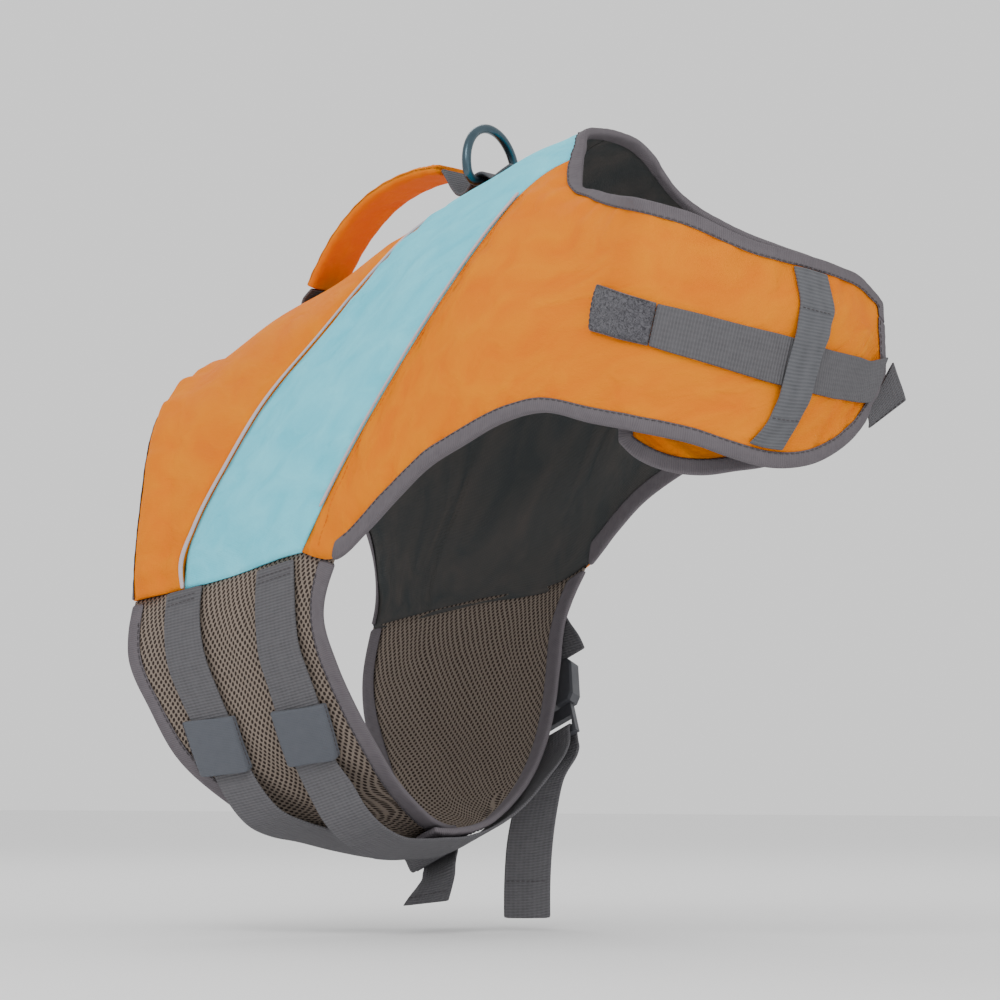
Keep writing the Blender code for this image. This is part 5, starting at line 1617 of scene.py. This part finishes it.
@dataclass
class BellyMesh:
    """Mesh panel of one side, with its binding: row 0 along the seam, the last under the belly.

    Attributes:
        flank: Side of the panel.
        strip: Surface of the shell above it.
    """

    flank: Flank
    strip: Strip

    def __post_init__(self) -> None:
        """Places the nodes and samples between them."""
        sign, table = self.flank.value, MESH_ROWS[self.flank]
        self.last, end = len(MESH_STEPS) + 1, table[-1].turn
        rough = np.zeros((MESH_LAST + 1, self.last + 1, 3))
        for step, at in enumerate(MESH_SEAM_AT):
            seam = self.strip.point(at, 1)
            first = math.degrees(math.asin((GIRTH_MID - seam.z + 0.4) / GIRTH_DOWN))
            for row in range(self.last + 1):
                turn = (mix(first, end, MESH_STEPS[row]) if row < len(MESH_STEPS)
                        else end - (MARGIN / 2.5 if row < self.last else 0))
                rear, front = column(table, "rear_s", turn), column(table, "front_s", turn)
                share = self.share(step, front - rear)
                s = seam.x if row == 0 else mix(rear, front, share)
                lift = mix(column(table, "rear_lift", turn), column(table, "lift", turn),
                           min(1.0, share * 1.6))
                if row == 0:
                    lift = min(lift + 0.8, abs(seam.y) - GIRTH_OUT - 0.2)
                rough[step, row] = trunk_point(sign, turn, s, lift)
        self.dense = smooth(smooth(rough, FINE, 0), FINE, 1)
        fore, down = np.gradient(self.dense, axis=0), np.gradient(self.dense, axis=1)
        self.out = unit(np.cross(fore, down)) * sign
        self.cut = sheet_cut(self.dense)
        u, v = self.cut[..., 0], self.cut[..., 1]
        broad = 0.3 * np.sin(v / 13.0 + 1.4 * np.sin(u / 31.0))
        rise = broad + 0.45 * np.sin(u / 3.6 + 1.2 * np.sin(v / 34.0))
        hold = np.clip(np.minimum(u, self.cut[-1:, :, 0] - u) / 26.0, 0, 1)
        self.slack = (rise - 0.75) * hold * 1.1 * np.clip((v - 4) / 20.0, 0, 1)

    @staticmethod
    def share(step: int, width: float) -> float:
        """Place of a column between the rear and the front edge, one margin off each."""
        margin = 0 if step in (0, MESH_LAST) else min(0.3, MARGIN / width)
        return mix(margin, 1 - margin, np.clip((step - 1) / (MESH_LAST - 2), 0, 1))

    def layer(self, height: float) -> Grid:
        """Points at a height over the outer face, with its slackness."""
        return self.dense + self.out * (height + self.slack)[..., None]

    def build(self) -> None:
        """Adds the mesh as a closed wall."""
        outer, inner = self.layer(0.0), self.layer(-MESH_THICK)
        made = add_wall(f"belly_mesh_{self.flank.word}", outer, inner, cells(outer), self.cut, MESH,
                        f"mesh_{self.flank.word}", "air_mesh")
        area = area_of(outer)

    def read(self, c: float, r: float) -> tuple[Grid, Grid, Grid]:
        """Outer point, inner point and normal at a column and row."""
        return tuple(blend(grid, c * FINE, r * FINE)
                     for grid in (self.layer(0.0), self.layer(-MESH_THICK), self.out))

    def bind(self, shell: Shell, stitches: Stitches) -> None:
        """Adds the binding down the front edge, along the belly and up the rear edge.

        Args:
            shell: Shell that makes the binding.
            stitches: Where its stitching is gathered.
        """
        last = self.last
        downs = [0.05] + list(range(1, last))
        pairs = [((MESH_LAST, r), (MESH_LAST - 1, r)) for r in downs]
        pairs += [((MESH_LAST, last), (MESH_LAST - 1, last - 1))]
        pairs += [((c, last), (c, last - 1)) for c in range(MESH_LAST - 1, 0, -1)]
        pairs += [((0, last), (1, last - 1))] + [((0, r), (1, r)) for r in downs[::-1]]
        rings = fold_tape(self.read, between(pairs, FINE), *MESH_TAPE)
        name = f"mesh_tape_{self.flank.word}"
        shell.bind(name, rings, stitches, f"mesh_binding_{self.flank.word}")


class Row(NamedTuple):
    """One row across a strap: points of its lower face, and the outward normal at each."""

    points: Grid
    normals: Grid


def level_row(points: Sequence[Grid], normal: Grid) -> Row:
    """Row whose points share one normal."""
    return Row(np.array(points), np.repeat(normal[None], len(points), axis=0))


def belt_row(sign: int, belt: Belt, shares: Sequence[float] = (0, 0.33, 0.67, 1),
             lifts: Optional[Sequence[float]] = None) -> Row:
    """Row of a strap over the trunk's oval.

    Args:
        sign: Sign of the side.
        belt: Both edges of the row.
        shares: Places across it.
        lifts: Height at each place, in place of the belt's own.

    Returns:
        The row.
    """
    points, normals = [], []
    for k, share in enumerate(shares):
        s, turn = mix(belt.left_s, belt.right_s, share), mix(belt.left_turn, belt.right_turn, share)
        lift = belt.lift + belt.tilt * share if lifts is None else lifts[k]
        points.append(trunk_point(sign, turn, s, lift))
        normals.append(trunk_point(sign, turn, s, lift + 1) - points[-1])
    return Row(np.array(points), unit(np.array(normals)))


def tail_rows(table: Sequence[tuple]) -> list[Row]:
    """Rows of a hanging strap end: its middle, and how far its width has turned to the front.

    Args:
        table: Middle and turn of each row.

    Returns:
        The rows, from the buckle down.
    """
    rows = []
    for (s, out, n), turned in table:
        wide = Vector((1, 0, 0)).lerp(Vector((0.74, 0.588, -0.34)), turned).normalized()
        away = Vector((-0.3, 0.9, -0.1)).lerp(Vector((-0.5, 0.8, 0.1)), turned)
        normal = np.array(-(away - wide * away.dot(wide)).normalized())
        rows.append(level_row([np.array((s, out, n)) + np.array(wide) * u for u in WEB_ACROSS], normal))
    return rows


@dataclass
class Strap:
    """A flat strap through rows, with rounded edges and lines of stitches.

    Attributes:
        name: Name of the piece.
        rows: Rows along it.
        finish: Webbing or tape.
        slot: Material slot.
        replaces: CAD node it stands for.
        thick: Thickness in millimetres.
    """

    name: str
    rows: Sequence[Row]
    finish: Finish
    slot: str
    replaces: str
    thick: float = WEB_THICK

    def __post_init__(self) -> None:
        """Samples the strap along and across."""
        points = np.array([r.points for r in self.rows])
        normals = np.array([r.normals for r in self.rows])
        self.low = self.crisp(smooth(smooth(points, 4, 0), 2, 1))
        self.out = unit(self.crisp(smooth(smooth(normals, 4, 0), 2, 1)))

    @staticmethod
    def crisp(grid: Grid) -> Grid:
        """Adds a sample close to each end along and across, so that corners stay square.

        Args:
            grid: Points or normals of the strap.

        Returns:
            The finer grid.
        """
        for axis in (0, 1):
            g = np.moveaxis(grid, axis, 0)
            first, last = (g[a] * 0.85 + g[b] * 0.15 for a, b in ((0, 1), (-1, -2)))
            g = np.concatenate([g[:1], first[None], g[1:-1], last[None], g[-1:]])
            grid = np.moveaxis(g, 0, axis)
        return grid

    def build(self) -> None:
        """Adds the strap."""
        high = self.low + self.out * self.thick
        side = unit(self.low[:, -1] - self.low[:, 0]) * self.thick * 0.28
        middle = self.low + self.out * (self.thick / 2)
        front, rear = (middle[:, -1] + side)[:, None], (middle[:, 0] - side)[:, None]
        ring = np.concatenate([self.low, front, high[:, ::-1], rear], axis=1)
        count = self.low.shape[1]
        flat = np.zeros(ring.shape[:2] + (2,))
        cut = sheet_cut(self.low)
        flat[:, :count], flat[:, count + 1:-1] = cut, cut[:, ::-1]
        flat[:, count], flat[:, -1] = cut[:, -1], cut[:, 0]
        add_piece(self.name, ring.reshape(-1, 3), tube(ring), flat.reshape(-1, 2), self.finish,
                  (self.replaces,), self.slot, levels=1)

    def sew(self, stitches: Stitches, start: tuple[float, float], end: tuple[float, float]) -> None:
        """Lays a straight row of stitches on the upper face.

        Args:
            stitches: Where they are gathered.
            start: Shares along and across at the row's start.
            end: Shares along and across at its end.
        """
        path, normals = [], []
        for t in np.linspace(0, 1, 25):
            place = [mix(a, b, t) * (size - 1) for a, b, size in zip(start, end, self.low.shape)]
            normal = unit(blend(self.out, *place))
            path.append(blend(self.low, *place) + normal * (self.thick + 0.1))
            normals.append(normal)
        stitches.row(np.array(path), np.array(normals))

    def box_stitch(self, stitches: Stitches, rear: float, front: float, inset: float = 0.1) -> None:
        """Sews a box between two shares of the strap's length.

        Args:
            stitches: Where they are gathered.
            rear: Share where the box starts.
            front: Share where it ends.
            inset: Share between its sides and the strap's edges.
        """
        corners = [(rear, inset), (front, inset), (front, 1 - inset), (rear, 1 - inset), (rear, inset)]
        for a, b in zip(corners, corners[1:]):
            self.sew(stitches, a, b)


# -------- straps, buckles, handle and ring
def surface_normal(strip: Strip, at: float, down: float) -> Vector:
    """Outward unit normal of the cut surface at a place.

    Args:
        strip: Surface of one side.
        at: Place along the strip.
        down: Place on the section.

    Returns:
        The normal.
    """
    lo, hi = max(at - 0.5, strip.rows[0].at), min(at + 0.5, strip.end)
    along = strip.point(hi, down) - strip.point(lo, down)
    across = strip.point(at, min(down + 0.004, 1)) - strip.point(at, max(down - 0.004, 0))
    return along.cross(across).normalized() * strip.sign


@dataclass
class Harness:
    """Girth straps, anchor straps, keepers, buckles and the chest closure.

    Attributes:
        shell: Shell that the straps are sewn to.
        stitches: Where the webbing's stitching is gathered.
        buckle_edge: Width of the rounding of the buckles' edges.
        buckle_bars: Places round the buckles' bars: distance down the strap, height, and normal.
    """

    shell: Shell
    stitches: Stitches
    buckle_edge: float = 1.3
    buckle_bars: tuple = (
        (33, -4.4, 0, 1), (27, -3.9, 0, 1), (21.5, -3.7, 0.3, 1), (18.9, -2.2, 1, 0.5), (18.7, 0, 1, 0),
        (18.9, 2.2, 1, -0.5), (21.5, 3.7, 0.3, -1), (27, 4.4, 0, -1), (32, 5.2, 0, -1),
    )

    def wrap(self, s: float, turn: float, lift: float) -> list[Row]:
        """Rows of a strap coming up the trunk, through a buckle's slot and back over its bar.

        Args:
            s: Place along the back of the buckle's middle.
            turn: Its degrees round the trunk.
            lift: Its height.

        Returns:
            The rows.
        """
        origin = trunk_point(1, turn, s, lift)
        w = unit(trunk_point(1, turn, s, lift + 1) - origin)
        u = np.array([1.0, 0, 0])
        v = np.cross(w, u)
        v = -v if v[2] > 0 else v
        rows = []
        for down, high, along, off in self.buckle_bars:
            points = [origin + u * x + v * down + w * high for x in WEB_ACROSS]
            rows.append(level_row(points, unit(v * along + w * off)))
        return rows

    def lying(self, rows: Sequence[Lie]) -> list[Row]:
        """Rows dropped from outside on the near chest flap.

        Args:
            rows: Places of the rows.

        Returns:
            The rows.
        """
        tree, strip = self.shell.tree("shoulder_right"), self.shell.lattices[Flank.RIGHT].strip
        made = []
        for row in rows:
            points, normals = [], []
            for k in range(5):
                at = mix(row.left_at, row.right_at, k / 4)
                down = mix(row.left_down, row.right_down, k / 4)
                normal = surface_normal(strip, at, down)
                met = tree.ray_cast(strip.point(at, down) + normal * 30, -normal, 60)[0]
                points.append(np.array(met + normal * row.over))
                normals.append(np.array(normal))
            made.append(Row(np.array(points), np.array(normals)))
        return made

    def girth(self) -> None:
        """Adds the two girth straps, round the belly to the buckles, with their hanging ends."""
        for name, table, place, tail in (
            ("rear", GIRTH_REAR, (-4, 54, 7), TAIL_REAR),
            ("front", GIRTH_FRONT, (72, 33, 7.5), TAIL_FRONT),
        ):
            rows = [belt_row(-1, belt) for belt in table] + self.wrap(*place) + tail_rows(tail)
            strap = Strap(f"girth_webbing_{name}", rows, WEBBING, "webbing", f"girth_strap_{name}")
            strap.build()
            for along, inset in ((0.016, 0.14), (0.022, 0.14), (0.965, 0.08)):
                strap.sew(self.stitches, (along, inset), (along, 1 - inset))
        for name, table in (("rear", ANCHOR_REAR), ("front", ANCHOR_FRONT)):
            strap = Strap(f"anchor_webbing_{name}", [belt_row(1, belt) for belt in table], WEBBING,
                          "webbing", f"anchor_strap_{name}")
            strap.build()
            strap.box_stitch(self.stitches, 0.06, 0.3)

    def keep(self) -> None:
        """Adds the two keepers on the belly mesh, sewn down along both sides."""
        shares = (0, 0.045, 0.35, 0.65, 0.955, 1)
        for name, table, rear in (("rear", KEEPER_REAR, 2.2), ("front", KEEPER_FRONT, 0.4)):
            rows = [belt_row(-1, b, shares, (rear, b.lift, b.lift, b.lift, b.lift, 0.4)) for b in table]
            patch = Strap(f"keeper_tape_{name}", rows, KEEPER, "keeper_cloth", f"keeper_{name}",
                          KEEPER_THICK)
            patch.build()
            for across in (0.10, 0.90):
                patch.sew(self.stitches, (0.04, across), (0.96, across))

    def close_chest(self) -> None:
        """Adds the loop tab, the chest strap through its ribbed keeper, and the strap's end."""
        tab = Strap("loop_tab", self.lying(HOOK_TAB), LOOP, "hook_tape", "hook_tab", LOOP_THICK)
        tab.build()
        tab.box_stitch(self.stitches, 0.06, 0.95, 0.07)
        strap = Strap("chest_webbing", self.lying(NECK_STRAP), WEBBING, "webbing", "neck_strap")
        strap.build()
        strap.sew(self.stitches, (0.016, 0.08), (0.016, 0.92))
        keeper = Strap("chest_keeper", self.lying(FLAP_KEEPER), RIBBED, "keeper_cloth", "flap_keeper",
                       KEEPER_THICK)
        keeper.build()
        for along in (0.2, 0.8):
            keeper.sew(self.stitches, (along, 0.08), (along, 0.92))
        rows = [level_row([np.array(a) * (1 - k) + np.array(b) * k for k in (0, 0.33, 0.67, 1)],
                          np.array(NECK_TAIL_FACE)) for a, b in NECK_TAIL]
        end = Strap("chest_webbing_end", rows, WEBBING, "webbing", "neck_tail")
        end.build()
        end.sew(self.stitches, (0.85, 0.08), (0.85, 0.92))

    def buckle(self, nodes: dict) -> None:
        """Gives the moulded buckles among the CAD nodes rounded edges and their finish."""
        for name in (n for n in nodes if n.startswith("buckle_")):
            dress_node(nodes[name], ACETAL, self.buckle_edge)


def dress_node(thing: Thing, finish: Finish, edge: float) -> None:
    """Gives a CAD node a finish and rounded edges.

    Args:
        thing: The node's object.
        finish: Its finish.
        edge: Width of the rounding, in millimetres.
    """
    thing.data.materials.clear()
    thing.data.materials.append(finish.material())
    thing.data.shade_flat()
    rounded = thing.modifiers.new("rounded", "BEVEL")
    rounded.width, rounded.segments = edge * MM, 3
    rounded.limit_method, rounded.angle_limit = "ANGLE", math.radians(35)
    rounded.harden_normals = True


@dataclass
class Handle:
    """Padded grab handle over the back, its webbing ends, and the leash ring.

    Attributes:
        shell: Shell that carries it.
        stitches: Where the handle's stitching is gathered.
        ring_s: Place of the ring along the back.
        ring_wide: Outer width of the ring to its wire's middle.
        ring_high: Height of the ring to its wire's middle.
        ring_wire: Thickness of the wire.
        ring_lean: Forward lean of the ring as it lies in its loop, in degrees.
    """

    shell: Shell
    stitches: Stitches
    ring_s: float = 219.0
    ring_wide: float = 44.0
    ring_high: float = 30.0
    ring_wire: float = 5.0
    ring_lean: float = 20.0

    def __post_init__(self) -> None:
        """Makes the tree for what lies on the back."""
        self.tree = self.shell.tree("saddle", "band")

    def back(self, s: float, out: float) -> float:
        """Height of the back's outer face at a place."""
        met = self.tree.ray_cast(Vector((s, out, 60)), Vector((0, 0, -1)), 90)[0]
        return met.z

    def sleeve(self) -> None:
        """Adds the padded sleeve, gathered a little by its long seam."""
        half, t = HANDLE_WIDE / 2, HANDLE_THICK
        low = [(-half, t / 2), (-half + 2, 0.3), (-half / 2, 0), (half / 2, 0), (half - 2, 0.3)]
        section = low + [(-y, t - h) for y, h in low]
        path = np.array(SLEEVE, float)
        ends = path[1:2] - path[:1], path[-1:] - path[-2:-1]
        along = unit(np.concatenate([ends[0], path[2:] - path[:-2], ends[1]]))
        rings = np.array([[(s - k[1] * h, y, n + k[0] * h) for y, h in section]
                          for (s, n), k in zip(path, along)])
        fine = smooth(smooth(rings, 6), 2, 1, closed=True)
        middle = fine.mean(axis=1, keepdims=True)
        place = np.cumsum(np.linalg.norm(np.diff(middle[:, 0], axis=0, prepend=middle[:1, 0]), axis=1))
        off = fine - middle
        swell = 1 + 0.05 * wave(place, 11.0)[:, None] * np.sin(fine[..., 1] / 5.0 + 1.0)
        fine = middle + off * np.stack([swell, 1 + (swell - 1) * 0.25, swell], axis=-1)
        add_piece("handle_sleeve_padded", fine.reshape(-1, 3), tube(fine), ring_cut(fine), ORANGE,
                  ("handle_sleeve",), "orange_polyester", levels=1)
        up = unit(fine[:, 14] - fine[:, 4])
        for k in (13, 17):
            self.stitches.row(fine[2:-2, k] + up[2:-2] * 0.15, up[2:-2])

    def strip(self, name: str, path: Sequence[tuple[float, float]], replaces: str) -> None:
        """Adds webbing along the spine.

        Args:
            name: Name of the piece.
            path: Place along the back, and height of the lower face over it.
            replaces: CAD node it stands for.
        """
        rows, outs = [], np.linspace(-12.5, 12.5, 5)
        knots = np.array([(s, self.back(s, 0) + h) for s, h in path])
        along = unit(np.gradient(knots, axis=0))
        for (s, h), k in zip(path, along):
            points = [(s, y, self.back(s, y if h < LIES_BELOW else 0) + h) for y in outs]
            rows.append(level_row(points, np.array([-k[1], 0, k[0]])))
        Strap(name, rows, WEBBING, "webbing", replaces).build()

    def webbing(self) -> None:
        """Adds the webbing ends under the handle, and the loop that holds the ring."""
        self.strip("handle_end_rear", HANDLE_FOLD, "handle_webbing_rear")
        self.strip("ring_loop_front", RING_LOOP, "handle_webbing_front")

    def ring(self, node: Thing) -> None:
        """Adds the smooth D-shaped ring where its CAD node stands.

        Args:
            node: CAD node of the ring.
        """
        low = min((v.co.z * COS - v.co.x * SIN) / MM for v in node.data.vertices) + WORN_AT[1]
        base, r = low + self.ring_wire / 2, self.ring_wide / 2
        rise = self.ring_high - r
        path = [(-r + 4, 0), (-r / 2, 0), (0, 0), (r / 2, 0), (r - 4, 0), (r - 0.8, 3.2)]
        path += [(r * math.cos(a), rise + r * math.sin(a)) for a in np.linspace(0, math.pi, 17)]
        path += [(-r + 0.8, 3.2)]
        lean = math.radians(self.ring_lean)
        up = np.array([math.sin(lean), 0, math.cos(lean)])
        face = np.array([math.cos(lean), 0, -math.sin(lean)])
        line = smooth([np.array([self.ring_s, y, base]) + up * h for y, h in path], 3, closed=True)
        side = unit(np.cross(np.roll(line, -1, axis=0) - np.roll(line, 1, axis=0), face))
        turns = np.arange(14) * 2 * math.pi / 14
        wire = self.ring_wire / 2
        rings = (line[:, None] + side[:, None] * np.cos(turns)[None, :, None] * wire
                 + face * np.sin(turns)[None, :, None] * wire)
        add_piece("leash_ring", rings.reshape(-1, 3), tube(rings, closed=True), ring_cut(rings), STEEL,
                  ("d_ring",), "ring_steel")


# -------- studio
@dataclass
class Studio:
    """Pale floor, soft light and the camera.

    Attributes:
        target: Point that the camera faces, in metres.
        eye: Place of the camera, in metres.
        lens: Focal length in millimetres, on a 36 mm sensor.
        floor_z: Height of the floor, in metres.
        floor_half: Half the floor's width, in metres.
        lamps: Name, place, size and power of each area light, in metres and watts.
    """

    target: tuple = (0.0704, 0.0, -0.1228)
    eye: tuple = (1.1837, -1.5324, -0.2719)
    lens: float = 129.0
    floor_z: float = -0.352
    floor_half: float = 6.0
    lamps: tuple = (
        ("key", (0.5, -1.5, 1.3), 0.9, 13.0), ("fill", (1.6, -0.6, 0.3), 1.4, 4.0),
        ("rim", (-0.9, 0.9, 1.2), 1.0, 6.0),
    )

    def aim(self, thing: Thing) -> None:
        """Turns a camera or lamp to the target and adds it to the scene."""
        thing.rotation_euler = (Vector(self.target) - thing.location).to_track_quat("-Z", "Y").to_euler()
        bpy.context.scene.collection.objects.link(thing)

    def shoot(self) -> None:
        """Adds the camera."""
        data = bpy.data.cameras.new("studio_camera")
        data.lens, data.sensor_width, data.clip_end = self.lens, 36.0, 50.0
        camera = bpy.data.objects.new("studio_camera", data)
        camera.location = self.eye
        self.aim(camera)
        bpy.context.scene.camera = camera

    def light(self) -> None:
        """Adds a pale surround and three soft area lights."""
        world = bpy.data.worlds.new("pale_surround")
        world.use_nodes = True
        sky = world.node_tree.nodes["Background"]
        sky.inputs["Color"].default_value, sky.inputs["Strength"].default_value = (1, 1, 1, 1), 1.05
        bpy.context.scene.world = world
        for name, place, size, power in self.lamps:
            data = bpy.data.lights.new(name, "AREA")
            data.shape, data.size, data.energy = "DISK", size, power
            lamp = bpy.data.objects.new(name, data)
            lamp.location = place
            self.aim(lamp)

    def lay_floor(self) -> None:
        """Adds the floor."""
        mesh = bpy.data.meshes.new("studio_floor")
        half = self.floor_half
        corners = [(x * half, y * half, self.floor_z) for x, y in ((-1, -1), (1, -1), (1, 1), (-1, 1))]
        mesh.from_pydata(corners, [], [(0, 1, 2, 3)])
        mesh.materials.append(Finish("matt_floor_paint", "F2F2F2", "F2F2F2", 0.9).material())
        floor = bpy.data.objects.new("studio_floor", mesh)
        bpy.context.scene.collection.objects.link(floor)


def main() -> None:
    """Builds the dressed jacket on its CAD frame."""
    logging.basicConfig(level=logging.INFO, format="%(name)s: %(message)s")
    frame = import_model()
    nodes = frame["nodes"]
    dark = Stitches("stitches_grey", THREAD_DARK)
    orange = Stitches("stitches_orange", THREAD_ORANGE, 3.0, 0.28)
    webbing = Stitches("stitches_webbing", THREAD_DARK, 2.8, 0.32)
    shell = Shell(CREASES)
    shell.dress()
    for flank in Flank:
        shell.line(flank)
    shell.edge(dark)
    shell.trim()
    shell.topstitch(orange)
    for flank in Flank:
        mesh = BellyMesh(flank, shell.lattices[flank].strip)
        mesh.build()
        mesh.bind(shell, dark)
    harness = Harness(shell, webbing)
    harness.girth()
    harness.keep()
    harness.close_chest()
    harness.buckle(nodes)
    handle = Handle(shell, orange)
    handle.sleeve()
    handle.webbing()
    handle.ring(nodes["d_ring"])
    for rows in (dark, orange, webbing):
        rows.build()
    studio = Studio()
    studio.shoot()
    studio.light()
    studio.lay_floor()
    bpy.context.view_layer.update()


if __name__ == "__main__":
    main()
